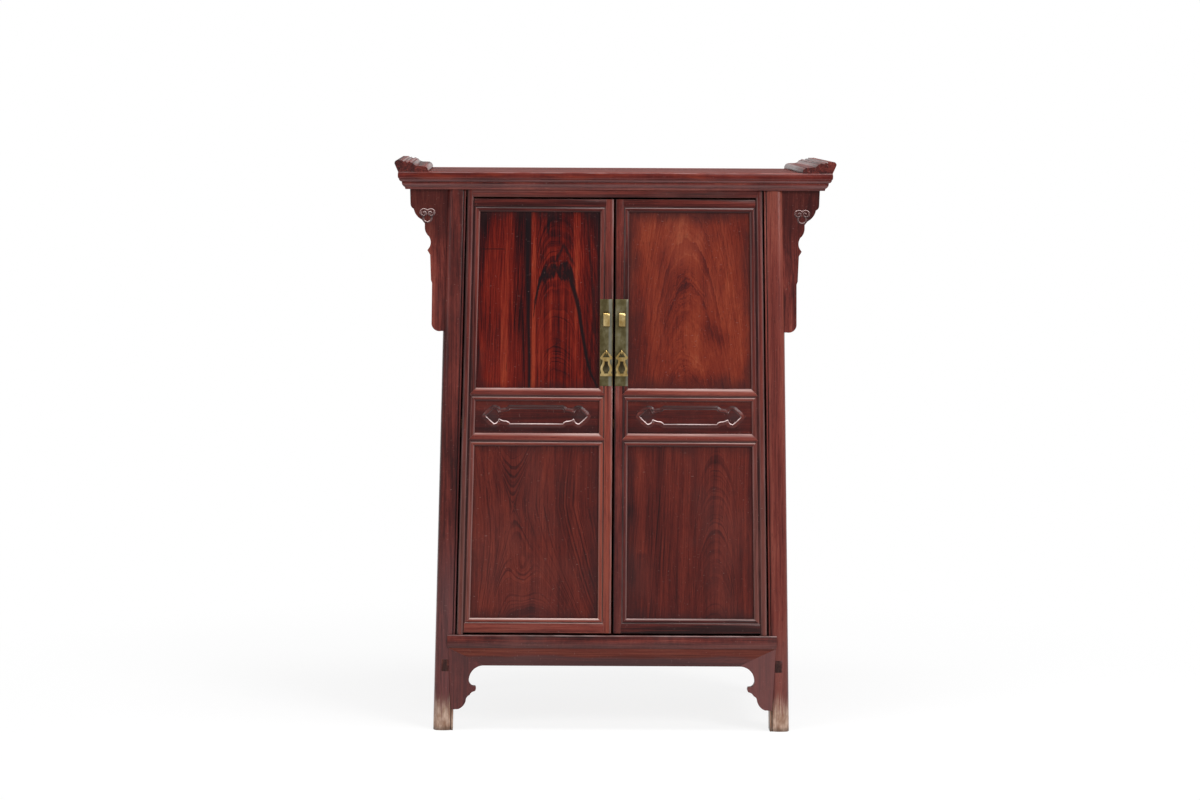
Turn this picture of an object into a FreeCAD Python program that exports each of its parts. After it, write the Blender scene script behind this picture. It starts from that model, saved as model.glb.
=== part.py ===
import FreeCAD, Part
import math
import os

# A low two-door cabinet with splayed legs and a top with everted ends.
# X runs to the right across the front, Y to the back and Z up, from the middle of its footprint on the floor.
# All lengths are in millimetres. The left half of the front is drawn and mirrored where the cabinet is.

V = FreeCAD.Vector
ORIGIN = V(0, 0, 0)
ACROSS = V(1, 0, 0)
BACK = V(0, 1, 0)
UP = V(0, 0, 1)
QUARTER_TURN = 90

# Whole cabinet
top_height = 790.5
top_width = 608.6
top_depth = 330.0
top_thickness = 24.2
end_overhang = 51.3
front_overhang = 4.5
splay_across = 16.5
splay_deep = 8.0
overrun = 40.0

# Play between pieces
edge_play = 0.6
face_play = 0.15
seat_play = 0.3
running_play = 0.06

# Legs
leg_size = 28.0
leg_crown = 2.2
leg_corner = 7.0
leg_bead = 2.8
leg_bead_rise = 1.1
leg_quirk = 0.8
leg_tenon = 13.0
leg_tenon_height = 12.0

# Top
frame_member = 42.4
edge_inset = 10.5
mitre_tenon = 8.0
mitre_tenon_length = 24.0
top_panel_thickness = 9.0
tongue = 6.0
tongue_thickness = 4.0
tongue_drop = 3.5
brace_width = 30.0
brace_place = 92.0
brace_tenon = 8.0
edge_shares = [
    ((0.0, 0.17), (0.05, 0.35)),
    ((0.15, 0.365),),
    ((0.22, 0.48), (0.42, 0.55)),
    ((0.53, 0.56),),
    ((0.60, 0.74), (0.92, 0.88)),
    ((1.0, 1.0),),
]
edge_start_share = (0.05, 0.0)

# Everted flanges
flange_rise = 16.3
flange_setback = 0.8
flange_start_share = (0.012, 0.0)
flange_shares = [
    ((-0.106, 0.70),),
    ((-0.082, 0.93), (0.02, 1.0)),
    ((0.165, 1.0),),
    ((0.19, 0.86),),
    ((0.235, 0.93), (0.275, 0.84)),
    ((0.335, 0.80),),
    ((0.385, 0.88), (0.435, 0.79)),
    ((0.49, 0.77),),
    ((0.57, 0.575), (0.68, 0.515)),
    ((0.86, 0.50),),
    ((0.965, 0.36), (1.0, 0.0)),
]

# Hanging spandrels outside the legs
hanging_end_gap = 6.3
hanging_drop = 199.3
hanging_thickness = 9.0
hanging_setback = 2.6
hanging_tongue = 5.0
hanging_tongue_thickness = 4.0
hanging_shares = [
    ((0.978, 0.104),),
    ((0.945, 0.127), (0.886, 0.139)),
    ((0.812, 0.181), (0.655, 0.215)),
    ((0.573, 0.241),),
    ((0.569, 0.273),),
    ((0.525, 0.309), (0.447, 0.333)),
    ((0.408, 0.356), (0.42, 0.405)),
    ((0.482, 0.430),),
    ((0.404, 0.462),),
    ((0.365, 0.640),),
    ((0.333, 0.661),),
    ((0.32, 0.950),),
    ((0.245, 0.987), (0.05, 1.0)),
]

# Front rails
rail_depth = 26.0
rail_crown = 1.4
rail_proud = 1.8
rail_lap = 10.6
lower_rail_bottom = 118.1
lower_rail_height = 18.6
upper_rail_height = 10.3
upper_rail_crown = 1.0
rail_tenon_setback = 11.5
rail_tenon_thickness = 8.0
rail_tenon_length = 17.0
lower_tenon_height = 13.8
upper_tenon_height = 5.0
upper_tenon_length = 11.0
upper_tenon_setback = 12.0
upper_tenon_thickness = 7.0

# Front apron and its spandrels
apron_height = 25.1
apron_thickness = 11.0
apron_setback = 0.1
apron_groove = 4.0
apron_tongue_thickness = 4.0
apron_end_lap = 9.6
apron_foot_lap = 3.4
spandrel_reach = 43.4
spandrel_drop = 63.0
spandrel_tongue_inset = 8.0
spandrel_shares = [
    ((0.640, 0.085), (0.488, 0.295)),
    ((0.510, 0.408), (0.600, 0.468)),
    ((0.705, 0.478),),
    ((0.722, 0.535), (0.684, 0.584)),
    ((0.585, 0.612), (0.520, 0.670)),
    ((0.428, 0.725), (0.400, 0.803)),
    ((0.290, 0.935), (0.160, 0.992)),
]

# Side rails and panels
side_rail_depth = 22.0
side_rail_setback = 2.0
side_rail_crown = 1.2
side_lower_bottom = 81.0
side_lower_height = 25.5
side_upper_height = 30.0
side_tenon_setback = 9.5
side_tenon_thickness = 10.5
side_tenon_height = 17.1
side_tenon_rise = 3.9
side_upper_tenon_length = 14.0
side_upper_tenon_height = 14.0
side_upper_tenon_rise = 5.4
side_panel_setback = 7.0
side_panel_thickness = 8.0
side_panel_groove = 4.4
panel_groove = 6.0
side_apron_height = 22.0
side_apron_thickness = 10.0
side_apron_corner = 6.0

# Back
back_lower_height = 22.0
back_upper_height = 30.0
back_middle_height = 26.0
back_tenon_height = 9.0
back_panel_setback = 7.0
back_panel_thickness = 8.0

# Inside
floor_thickness = 10.0
floor_drop = 2.0
floor_groove = 6.0
shelf_thickness = 12.0
shelf_drop = 4.2
shelf_stop_gap = 0.4
bearer_size = 14.0

# Doors
hinge_gap = 1.8
meeting_gap = 3.0
door_foot_gap = 3.0
door_head_gap = 2.8
door_face = 0.8
door_depth = 18.0
stile_width = 18.5
meeting_width = 18.8
door_top_rail = 18.2
door_bottom_rail = 21.0
middle_rail = 18.4
waist_height = 45.3
waist_share = 0.4996
point_depth = 8.2
frame_lip = 6.0
frame_lip_crown = 1.3
frame_quirk = 1.0
frame_quirk_depth = 1.6
field_crown = 0.8
middle_crown = 1.9
middle_lip = 5.4
middle_lip_setback = 0.7
middle_lip_crown = 1.1
middle_quirk_depth = 2.6
door_tenon_length = 5.0
door_tenon_thickness = 5.0
door_tenon_setback = 10.6
door_tenon_height = 9.0
middle_tenon_height = 7.0
door_panel_recess = 3.8
door_panel_thickness = 6.0
door_panel_groove = 5.0

# Door pivots
bead_radius = 4.8
bead_depth = 5.5
bead_notch_play = 0.6
stile_inset = 0.6
stile_ease = 3.0
pin_radius = 2.7
lower_pin = 11.0
upper_pin = 12.0
pin_end_play = 0.5

# Brass
plate_width = 18.2
plate_height = 122.4
plate_thickness = 1.4
plate_rise = 3.4
staple_width = 9.0
staple_height = 20.3
staple_reach = 11.0
staple_strap = 2.2
staple_corner = 4.0
staple_rise_share = 0.683
staple_shank = 9.0
pull_rise_share = 0.3905
pull_axis_reach = 4.0
eye_strip = 1.8
eye_inner = 1.95
eye_shank = 9.0
pull_thickness = 2.6
pull_half_width = 8.4
pull_length = 33.5
pull_crest = 1.0
pull_bar = 0.9
pull_shares = [
    ((1.0, -0.20),),
    ((0.93, -0.275), (0.64, -0.30)),
    ((0.60, -0.40), (0.80, -0.53)),
    ((0.96, -0.66), (0.90, -0.80)),
    ((0.86, -0.87), (1.0, -0.91)),
    ((1.0, -1.0),),
]
pull_crest_share = 0.27
hanger_shares = [(0.19, -0.032), (0.60, -0.205)]
vase_start_share = (0.30, -0.375)
vase_shares = [
    ((0.29, -0.46), (0.42, -0.57)),
    ((0.58, -0.69), (0.44, -0.80)),
    ((0.33, -0.85), (0.34, -0.89)),
]

# Heights and places worked out from the sizes above
foot_width = top_width - end_overhang * 2
foot_depth = top_depth - front_overhang * 2
leg_top_reach = foot_width / 2 - splay_across
hanging_reach = top_width / 2 - edge_inset - hanging_end_gap - leg_top_reach
top_under = top_height - top_thickness
lower_rail_top = lower_rail_bottom + lower_rail_height
upper_rail_bottom = top_under - upper_rail_height
apron_bottom = lower_rail_bottom - apron_height
door_bottom = lower_rail_top + door_foot_gap
door_top = upper_rail_bottom - door_head_gap
door_back = door_face + door_depth
side_upper_bottom = top_under - side_upper_height
side_lower_top = side_lower_bottom + side_lower_height
side_panel_back = side_panel_setback + side_panel_thickness
back_lower_top = lower_rail_bottom + back_lower_height
back_upper_bottom = top_under - back_upper_height
waist_centre = door_bottom + (door_top - door_bottom) * waist_share
back_middle_bottom = waist_centre - back_middle_height / 2
back_middle_top = back_middle_bottom + back_middle_height
shelf_height = waist_centre - shelf_drop
waist_bottom = waist_centre - waist_height / 2
waist_top = waist_centre + waist_height / 2
upper_panel_bottom = waist_top + middle_rail
lower_panel_top = waist_bottom - middle_rail
upper_panel_top = door_top - door_top_rail
lower_panel_bottom = door_bottom + door_bottom_rail
plate_bottom = upper_panel_bottom + plate_rise
staple_bottom = plate_bottom + plate_height * staple_rise_share
pull_axis_height = plate_bottom + plate_height * pull_rise_share
meeting_outer = -meeting_gap / 2
meeting_inner = meeting_outer - meeting_width
door_panel_front = door_face + door_panel_recess
bead_bottom = lower_rail_top + seat_play
bead_top = top_under - seat_play
floor_top = lower_rail_top - floor_drop
lean_deep = math.degrees(math.atan(splay_deep / top_under))
lean_across = math.degrees(math.atan(splay_across / top_under))


# Drawing and placing

def front_view(x, z):
    return V(x, 0, z)


def plan_view(x, y):
    return V(x, y, 0)


def end_view(y, z):
    return V(0, y, z)


def traced_face(start, steps, view):
    """A face inside lines and arcs: a step of one point is a line, a step of two is an arc by way of the first."""
    edges = []
    here = view(*start)
    for step in steps:
        there = view(*step[-1])
        if len(step) == 2:
            edges.append(Part.Arc(here, view(*step[0]), there).toShape())
        else:
            edges.append(Part.LineSegment(here, there).toShape())
        here = there
    return Part.Face(Part.Wire(edges))


def flat_face(points, view):
    steps = [(point,) for point in points[1:]] + [(points[0],)]
    return traced_face(points[0], steps, view)


def scaled_steps(shares, width, height):
    """Steps given as shares of a width and a height, in real sizes."""
    return [tuple((across * width, along * height) for across, along in step) for step in shares]


def box(x0, x1, y0, y1, z0, z1):
    return Part.makeBox(x1 - x0, y1 - y0, z1 - z0, V(x0, y0, z0))


def front_board(points, front, back):
    """A board with an outline drawn in front view, between two depths."""
    board = flat_face(points, front_view).extrude(V(0, back - front, 0))
    board.translate(V(0, front, 0))
    return board


def mirror_right(shape):
    return shape.mirror(ORIGIN, ACROSS)


def mirror_back(shape):
    return shape.mirror(ORIGIN, BACK)


def joined(shapes):
    return shapes[0].fuse(shapes[1:]).removeSplitter()


def on_front(shape):
    """Leans a piece drawn on the plane y = 0 back against the front of the splayed legs."""
    placed = shape.copy()
    placed.rotate(ORIGIN, ACROSS, -lean_deep)
    placed.translate(V(0, -foot_depth / 2, 0))
    return placed


def on_left(shape):
    """Turns a piece drawn on the plane y = 0 to the left side and leans it against the splayed legs."""
    placed = shape.copy()
    placed.rotate(ORIGIN, UP, -QUARTER_TURN)
    placed.rotate(ORIGIN, BACK, lean_across)
    placed.translate(V(-foot_width / 2, 0, 0))
    return placed


def front_clear(height):
    """Half the clear width between the front legs at a height."""
    return foot_width / 2 - leg_size - splay_across * height / top_under


def side_clear(height):
    """Half the clear depth between a front leg and a rear leg at a height."""
    return foot_depth / 2 - leg_size - splay_deep * height / top_under


def sloping_board(left, right, low, high, front, back, grow, swell):
    """A board whose side edges follow two lines, grown at its edges and swollen at its faces."""
    bottom = low - grow
    head = high + grow
    points = [
        (left(bottom) - grow, bottom),
        (right(bottom) + grow, bottom),
        (right(head) + grow, head),
        (left(head) - grow, head),
    ]
    return front_board(points, front - swell, back + swell)


def crowned_bar(half_length, low, high, front, back, crown):
    """A rail with a face that swells forward between its edges."""
    middle = (low + high) / 2
    steps = [
        ((back, high),),
        ((front + crown, high),),
        ((front, middle), (front + crown, low)),
        ((back, low),),
    ]
    bar = traced_face((back, low), steps, end_view).extrude(V(half_length * 2, 0, 0))
    bar.translate(V(-half_length, 0, 0))
    return bar


# Legs

crown_run = leg_size - leg_bead - leg_quirk
crown_radius = ((crown_run - leg_size / 2) ** 2 + leg_crown ** 2) / (2 * leg_crown)


def drop(along):
    """How far the leg's crowned face falls back from its crest, at a distance from the outer corner."""
    return crown_radius - math.sqrt(crown_radius ** 2 - (along - leg_size / 2) ** 2)


def leg_section():
    """The plan of the front left leg, from its outer corner: two crowned faces outside, square inside."""
    run = crown_run
    slope = math.asin((leg_size / 2 - leg_corner) / crown_radius)
    corner_drop = drop(leg_corner)
    corner_radius = (leg_corner - corner_drop) / (math.cos(slope) - math.sin(slope))
    corner_centre = leg_corner + corner_radius * math.sin(slope)
    corner_middle = corner_centre - corner_radius / math.sqrt(2)
    crown_middle = (run + leg_corner) / 2
    bead_start = leg_size - leg_bead
    bead_middle = leg_size - leg_bead / 2
    seat = leg_crown + leg_quirk
    bead_crest = seat - leg_bead_rise
    steps = [
        ((leg_size, seat),),
        ((bead_middle, bead_crest), (bead_start, seat)),
        ((run, leg_crown),),
        ((crown_middle, drop(crown_middle)), (leg_corner, corner_drop)),
        ((corner_middle, corner_middle), (corner_drop, leg_corner)),
        ((drop(crown_middle), crown_middle), (leg_crown, run)),
        ((seat, bead_start),),
        ((bead_crest, bead_middle), (seat, leg_size)),
        ((leg_size, leg_size),),
    ]
    return traced_face((leg_size, leg_size), steps, plan_view)


def coping_section():
    """The plan of what laps over the leg's front: it follows the crown and bridges the quirk and bead."""
    bead_crest = leg_crown + leg_quirk - leg_bead_rise
    bridge = leg_size / 2 + math.sqrt(crown_radius ** 2 - (crown_radius - bead_crest) ** 2)
    middle = (bridge + leg_corner) / 2
    steps = [
        ((leg_size, bead_crest),),
        ((bridge, bead_crest),),
        ((middle, drop(middle)), (leg_corner, drop(leg_corner))),
        ((leg_corner, leg_size),),
        ((leg_size, leg_size),),
    ]
    return traced_face((leg_size, leg_size), steps, plan_view)


def splayed(section):
    """A section at the front left foot, run up the leg's slope to the top's underside."""
    section.translate(V(-foot_width / 2, -foot_depth / 2, 0))
    return section.extrude(V(splay_across, splay_deep, top_under))


def leg_blank():
    """The front left leg before its mortises, without its top tenon."""
    return splayed(leg_section())


def leg_top_tenon():
    middle_x = -foot_width / 2 + splay_across + leg_size / 2
    middle_y = -foot_depth / 2 + splay_deep + leg_size / 2
    half = leg_tenon / 2
    return box(
        middle_x - half,
        middle_x + half,
        middle_y - half,
        middle_y + half,
        top_under,
        top_under + leg_tenon_height,
    )


def leg_room(reach, view, along):
    """The room between the legs, up to the top's underside, with the legs' splay."""
    low = reach(0)
    high = reach(top_under)
    room = flat_face([(-low, 0), (low, 0), (high, top_under), (-high, top_under)], view)
    room.translate(along * (-foot_width))
    return room.extrude(along * (foot_width + foot_width))


front_left_blank = leg_blank()
front_right_blank = mirror_right(front_left_blank)
rear_left_blank = mirror_back(front_left_blank)
front_blanks = [front_left_blank, front_right_blank]
left_coping = splayed(coping_section())
coping = [left_coping, mirror_right(left_coping)]
left_blanks = [front_left_blank, rear_left_blank]
room_across = leg_room(front_clear, front_view, BACK)
room_deep = leg_room(side_clear, end_view, ACROSS)
parts = {}


# Front rails, apron and their tenons

def front_tenon(length, front, back, low, high):
    reach = front_clear((low + high) / 2) + length
    return on_front(box(-reach, reach, front, back, low, high))


def lower_front_tenon(low):
    back = rail_tenon_setback + rail_tenon_thickness
    return front_tenon(rail_tenon_length, rail_tenon_setback, back, low, low + lower_tenon_height)


lower_tenon_low = lower_rail_bottom + (lower_rail_height - lower_tenon_height) / 2
lower_tenon = lower_front_tenon(lower_tenon_low)
upper_tenon_low = upper_rail_bottom + (upper_rail_height - upper_tenon_height) / 2
upper_tenon = front_tenon(
    upper_tenon_length,
    upper_tenon_setback,
    upper_tenon_setback + upper_tenon_thickness,
    upper_tenon_low,
    upper_tenon_low + upper_tenon_height,
)


def pivot_point(height):
    """A point of the left door's slanted pivot axis, on the plane that is then leaned."""
    return V(-front_clear(height) + hinge_gap + bead_radius, bead_depth, height)


def pivot_rod(radius, low, high):
    start = pivot_point(low)
    run = pivot_point(high) - start
    return Part.makeCylinder(radius, run.Length, start, run)


def both_pivots(radius, low, high):
    rod = pivot_rod(radius, low, high)
    return [rod, mirror_right(rod)]


def front_lower_rail():
    half = front_clear(lower_rail_bottom) + rail_lap
    bar = crowned_bar(half, lower_rail_bottom, lower_rail_top, -rail_proud, rail_depth, rail_crown)
    socket_end = bead_bottom - lower_pin - pin_end_play
    sockets = both_pivots(pin_radius + running_play, socket_end, lower_rail_top + overrun)
    tongue_back = apron_setback + apron_thickness
    apron_seat = box(
        -front_clear(lower_rail_bottom),
        front_clear(lower_rail_bottom),
        tongue_back - apron_tongue_thickness - face_play,
        tongue_back + face_play,
        lower_rail_bottom - overrun,
        lower_rail_bottom + apron_groove + face_play,
    )
    bar = on_front(bar.cut(sockets + [apron_seat])).cut(coping + [floor_slab(floor_groove, face_play)])
    return joined([bar, lower_tenon])


def front_upper_rail():
    half = front_clear(upper_rail_bottom)
    bar = crowned_bar(half, upper_rail_bottom, top_under + overrun, 0, rail_depth, upper_rail_crown)
    notches = both_pivots(bead_radius + bead_notch_play, upper_rail_bottom - overrun, top_under + overrun)
    shoulder = pivot_point(upper_rail_bottom).x
    corner = box(
        -foot_width / 2,
        shoulder,
        -overrun,
        bead_depth + bead_radius + bead_notch_play,
        upper_rail_bottom - overrun,
        top_under + overrun,
    )
    bar = bar.cut(notches + [corner, mirror_right(corner)])
    return joined([on_front(bar).common(room_across), upper_tenon])


def front_apron():
    """The apron board: its ends are mitred from the lap on the legs down to the spandrels' inner corners."""
    outer = front_clear(lower_rail_bottom) + apron_end_lap
    inner = front_clear(apron_bottom) - spandrel_reach
    back = apron_setback + apron_thickness
    points = [
        (-outer, lower_rail_bottom),
        (-inner, apron_bottom),
        (inner, apron_bottom),
        (outer, lower_rail_bottom),
    ]
    board = front_board(points, apron_setback, back)
    reach = front_clear(lower_rail_bottom) - edge_play
    tongue_high = lower_rail_bottom + apron_groove
    strip = box(-reach, reach, back - apron_tongue_thickness, back, lower_rail_bottom, tongue_high)
    return on_front(joined([board, strip])).cut(coping)


def apron_spandrel():
    """The left spandrel: a scrolled foot under the mitre, lapping over the leg's rounded face."""
    corner_x = -front_clear(apron_bottom) + spandrel_reach

    def place(across, along):
        height = apron_bottom - along * spandrel_drop
        return (-front_clear(height) + across * spandrel_reach, height)

    steps = [tuple(place(*point) for point in step) for step in spandrel_shares]
    foot = apron_bottom - spandrel_drop
    steps.append(((-front_clear(foot) - apron_foot_lap, foot),))
    steps.append(((-front_clear(lower_rail_bottom) - apron_end_lap, lower_rail_bottom),))
    steps.append(((corner_x, apron_bottom),))
    face = traced_face((corner_x, apron_bottom), steps, front_view)
    face.translate(V(0, apron_setback, 0))
    board = face.extrude(V(0, apron_thickness, 0))
    return joined([on_front(board).cut(left_coping), spandrel_tongue()])


def spandrel_tongue():
    """Lets the spandrel into the side of the leg."""
    low = apron_bottom - spandrel_drop + spandrel_tongue_inset
    high = lower_rail_bottom - spandrel_tongue_inset
    front = apron_setback + apron_thickness - apron_tongue_thickness
    points = [
        (-front_clear(low) - apron_groove, low),
        (-front_clear(low) + apron_groove, low),
        (-front_clear(high) + apron_groove, high),
        (-front_clear(high) - apron_groove, high),
    ]
    return on_front(front_board(points, front, front + apron_tongue_thickness))


# Hanging spandrels

def hanging_outline(shares):
    """Steps of the outline, measured out from the leg's outer edge and down from the top's underside."""
    placed = []
    for step in shares:
        points = []
        for across, along in step:
            height = top_under - along * hanging_drop
            points.append((-front_clear(height) - leg_size - across * hanging_reach, height))
        placed.append(tuple(points))
    return placed


def hanging_spandrel():
    """The left one, with a tongue let into the leg."""
    inside = leg_size / 2
    foot = top_under - hanging_drop
    head = top_under + overrun
    start = (-front_clear(top_under) - leg_size - hanging_reach, head)
    steps = [((start[0], top_under),)] + hanging_outline(hanging_shares)
    steps.append(((-front_clear(foot) - leg_size + inside, foot),))
    steps.append(((-front_clear(head) - leg_size + inside, head),))
    steps.append((start,))
    face = traced_face(start, steps, front_view)
    face.translate(V(0, hanging_setback + leg_crown, 0))
    board = face.extrude(V(0, hanging_thickness, 0))
    under = box(-foot_width, foot_width, -foot_depth, foot_depth, 0, top_under)
    return on_front(board).cut(front_left_blank).common(under)


def hanging_tongue_bar():
    """The tongue runs down the leg's outer face, stopped short of the top and of the spandrel's foot."""
    low = top_under - hanging_drop + hanging_reach / 2
    high = top_under - hanging_reach / 2
    front = hanging_setback + leg_crown + (hanging_thickness - hanging_tongue_thickness) / 2
    outer = hanging_reach / 4
    points = [
        (-front_clear(low) - leg_size - outer, low),
        (-front_clear(low) - leg_size + hanging_tongue, low),
        (-front_clear(high) - leg_size + hanging_tongue, high),
        (-front_clear(high) - leg_size - outer, high),
    ]
    return on_front(front_board(points, front, front + hanging_tongue_thickness))


# Sides

def side_tenon(length, low, high):
    reach = side_clear((low + high) / 2) + length
    back = side_tenon_setback + side_tenon_thickness
    return on_left(box(-reach, reach, side_tenon_setback, back, low, high))


through_low = side_lower_bottom + side_tenon_rise
through_bar = side_tenon(leg_size + overrun, through_low, through_low + side_tenon_height)
through_tenons = [through_bar.common(blank) for blank in left_blanks]
side_upper_low = side_upper_bottom + side_upper_tenon_rise
side_upper_high = side_upper_low + side_upper_tenon_height
side_upper_tenon = side_tenon(side_upper_tenon_length, side_upper_low, side_upper_high)


def side_rail(low, high):
    back = side_rail_setback + side_rail_depth
    bar = crowned_bar(side_clear(low) + overrun, low, high, side_rail_setback, back, side_rail_crown)
    return on_left(bar).common(room_deep).cut([side_groove])


def side_board(grow, swell):
    def left(height):
        return -side_clear(height)

    return sloping_board(
        left, side_clear, side_lower_top, side_upper_bottom, side_panel_setback, side_panel_back, grow, swell
    )


side_panel = on_left(side_board(side_panel_groove - edge_play, 0))
side_groove = on_left(side_board(side_panel_groove, face_play))


def side_lower_rail():
    return joined([side_rail(side_lower_bottom, side_lower_top)] + through_tenons)


def side_upper_rail():
    return joined([side_rail(side_upper_bottom, top_under + overrun), side_upper_tenon])


def side_apron():
    low = side_lower_bottom - side_apron_height
    half = side_clear(low) + overrun
    front = side_panel_setback
    corner = side_apron_corner
    points = [
        (-half, side_lower_bottom),
        (-half, low + corner),
        (-side_clear(low), low + corner),
        (-side_clear(low) + corner, low),
        (side_clear(low) - corner, low),
        (side_clear(low), low + corner),
        (half, low + corner),
        (half, side_lower_bottom),
    ]
    return on_left(front_board(points, front, front + side_apron_thickness)).common(room_deep)


# Back, drawn on the front and mirrored

def back_tenon(low):
    back = rail_tenon_setback + rail_tenon_thickness
    return front_tenon(rail_tenon_length, rail_tenon_setback, back, low, low + back_tenon_height)


def back_board(low, high, grow, swell):
    def left(height):
        return -front_clear(height)

    back = back_panel_setback + back_panel_thickness
    return on_front(sloping_board(left, front_clear, low, high, back_panel_setback, back, grow, swell))


back_low_tenon = back_tenon(lower_rail_bottom + (back_lower_height - back_tenon_height) / 2)
back_mid_tenon = back_tenon(back_middle_bottom + (back_middle_height - back_tenon_height) / 2)
back_up_tenon = upper_tenon
back_tenons = [back_low_tenon, back_mid_tenon, back_up_tenon]
back_grooves = [
    back_board(back_lower_top, back_middle_bottom, panel_groove, face_play),
    back_board(back_middle_top, back_upper_bottom, panel_groove, face_play),
]


def back_frame_rail(low, high, tenon):
    bar = crowned_bar(front_clear(low) + overrun, low, high, side_rail_setback, rail_depth, side_rail_crown)
    bar = on_front(bar).common(room_across).cut(back_grooves + [floor_slab(floor_groove, face_play)])
    return mirror_back(joined([bar, tenon]))


def rear_apron():
    half = foot_width / 2
    back = back_panel_setback + apron_thickness
    board = box(-half, half, back_panel_setback, back, apron_bottom, lower_rail_bottom)
    return mirror_back(on_front(board).common(room_across))


# Inside

def inner_cutters():
    """The four legs and the boards that the floor and the shelf are cut to fit."""
    rear_right_blank = mirror_back(front_right_blank)
    return front_blanks + [rear_left_blank, rear_right_blank]


def side_face(height):
    """Half the width between the side panels at a height."""
    return foot_width / 2 - side_panel_back - splay_across * height / top_under - face_play


def front_to_middle(depth, height):
    """Distance from the cabinet's middle to a depth behind the front plane at a height."""
    return foot_depth / 2 - depth - splay_deep * height / top_under


def floor_slab(depth_in_rails, swell):
    """The floor board's length and height, let into the rails to a depth."""
    reach = foot_width / 2
    ends = front_to_middle(rail_depth - depth_in_rails, floor_top)
    return box(-reach, reach, -ends, ends, floor_top - floor_thickness - swell, floor_top + swell)


def floor_board():
    reach = side_face(floor_top)
    between = box(-reach, reach, -foot_depth / 2, foot_depth / 2, 0, top_height)
    return floor_slab(floor_groove - edge_play, 0).common(between).cut(inner_cutters())


def shelf_board():
    reach = side_face(shelf_height)
    low = shelf_height - shelf_thickness
    front = -front_to_middle(door_back + shelf_stop_gap, shelf_height)
    back = front_to_middle(back_panel_setback + back_panel_thickness + seat_play, shelf_height)
    board = box(-reach, reach, front, back, low, shelf_height)
    rail = mirror_back(
        on_front(
            box(-foot_width, foot_width, -overrun, rail_depth + face_play, back_middle_bottom, back_middle_top)
        )
    )
    return board.cut(inner_cutters() + [rail])


def shelf_bearer():
    high = shelf_height - shelf_thickness
    low = high - bearer_size
    front = side_panel_back + face_play
    half = side_clear(low) - seat_play
    above = shelf_height + seat_play
    bar = on_left(box(-half, half, front, front + bearer_size, low, above))
    under = box(-foot_width, foot_width, -foot_depth, foot_depth, 0, high)
    return bar.common(under)


# Top

def top_section(view_inset):
    """The moulded section of a frame member: a crowned band over two stepped swellings."""
    scaled = scaled_steps(edge_shares, edge_inset, -top_thickness)
    start = (edge_start_share[0] * edge_inset, 0)
    steps = scaled + [((frame_member, -top_thickness),), ((frame_member, 0),), (start,)]
    return traced_face(start, steps, view_inset)


def front_inset(inset, drop):
    return V(-top_width / 2, -top_depth / 2 + inset, top_height + drop)


def left_inset(inset, drop):
    return V(-top_width / 2 + inset, -top_depth / 2, top_height + drop)


def plan_board(points, low, high):
    board = flat_face(points, plan_view).extrude(V(0, 0, high - low))
    board.translate(V(0, 0, low))
    return board


half_width = top_width / 2
half_depth = top_depth / 2
open_width = half_width - frame_member
open_depth = half_depth - frame_member
mitre_low = top_under + (top_thickness - mitre_tenon) / 2


def mitre_tenon_box():
    """The hidden tenon of the left end member, let into the front member across the mitre."""
    centre = half_depth - frame_member / 2
    return box(
        -half_width + frame_member / 2,
        -open_width - edge_play,
        -centre,
        -centre + mitre_tenon_length,
        mitre_low,
        mitre_low + mitre_tenon,
    )


def top_groove():
    return box(
        -open_width - tongue - edge_play,
        open_width + tongue + edge_play,
        -open_depth - tongue - edge_play,
        open_depth + tongue + edge_play,
        top_height - tongue_drop - tongue_thickness - face_play,
        top_height - tongue_drop + face_play,
    )


def brace(sign, grow):
    half = brace_width / 2
    return box(
        sign * brace_place - half - grow,
        sign * brace_place + half + grow,
        -open_depth - brace_tenon,
        open_depth + brace_tenon,
        top_under + edge_inset / 2 - grow,
        top_height - top_panel_thickness - face_play,
    )


def top_front():
    bar = top_section(front_inset).extrude(V(top_width, 0, 0))
    outline = [
        (-half_width, -half_depth),
        (half_width, -half_depth),
        (open_width, -open_depth),
        (-open_width, -open_depth),
    ]
    bar = bar.common(plan_board(outline, top_under - overrun, top_height + overrun))
    mortise = mitre_tenon_box()
    pin_top = bead_top + upper_pin + pin_end_play
    sockets = [on_front(rod) for rod in both_pivots(pin_radius + running_play, door_top, pin_top)]
    leg_mortise = leg_top_tenon()
    cutters = [mortise, mirror_right(mortise), leg_mortise, mirror_right(leg_mortise), top_groove()]
    return bar.cut(cutters + sockets + [brace(-1, 0), brace(1, 0)])


def top_rear():
    bar = top_section(front_inset).extrude(V(top_width, 0, 0))
    outline = [
        (-half_width, -half_depth),
        (half_width, -half_depth),
        (open_width, -open_depth),
        (-open_width, -open_depth),
    ]
    bar = bar.common(plan_board(outline, top_under - overrun, top_height + overrun))
    mortise = mitre_tenon_box()
    leg_mortise = leg_top_tenon()
    cutters = [mortise, mirror_right(mortise), leg_mortise, mirror_right(leg_mortise), top_groove()]
    return mirror_back(bar.cut(cutters + [brace(-1, 0), brace(1, 0)]))


def flange():
    """The left everted flange: a rolled tip, two ridges and a hollow slope down to a rounded nose."""
    def place(across, rise):
        return V(-half_width + across, -half_depth + flange_setback, top_height + rise)

    steps = scaled_steps(flange_shares, frame_member, flange_rise)
    start = (flange_start_share[0] * frame_member, 0)
    face = traced_face(start, steps + [(start,)], place)
    return face.extrude(V(0, top_depth - flange_setback * 2, 0))


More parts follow.
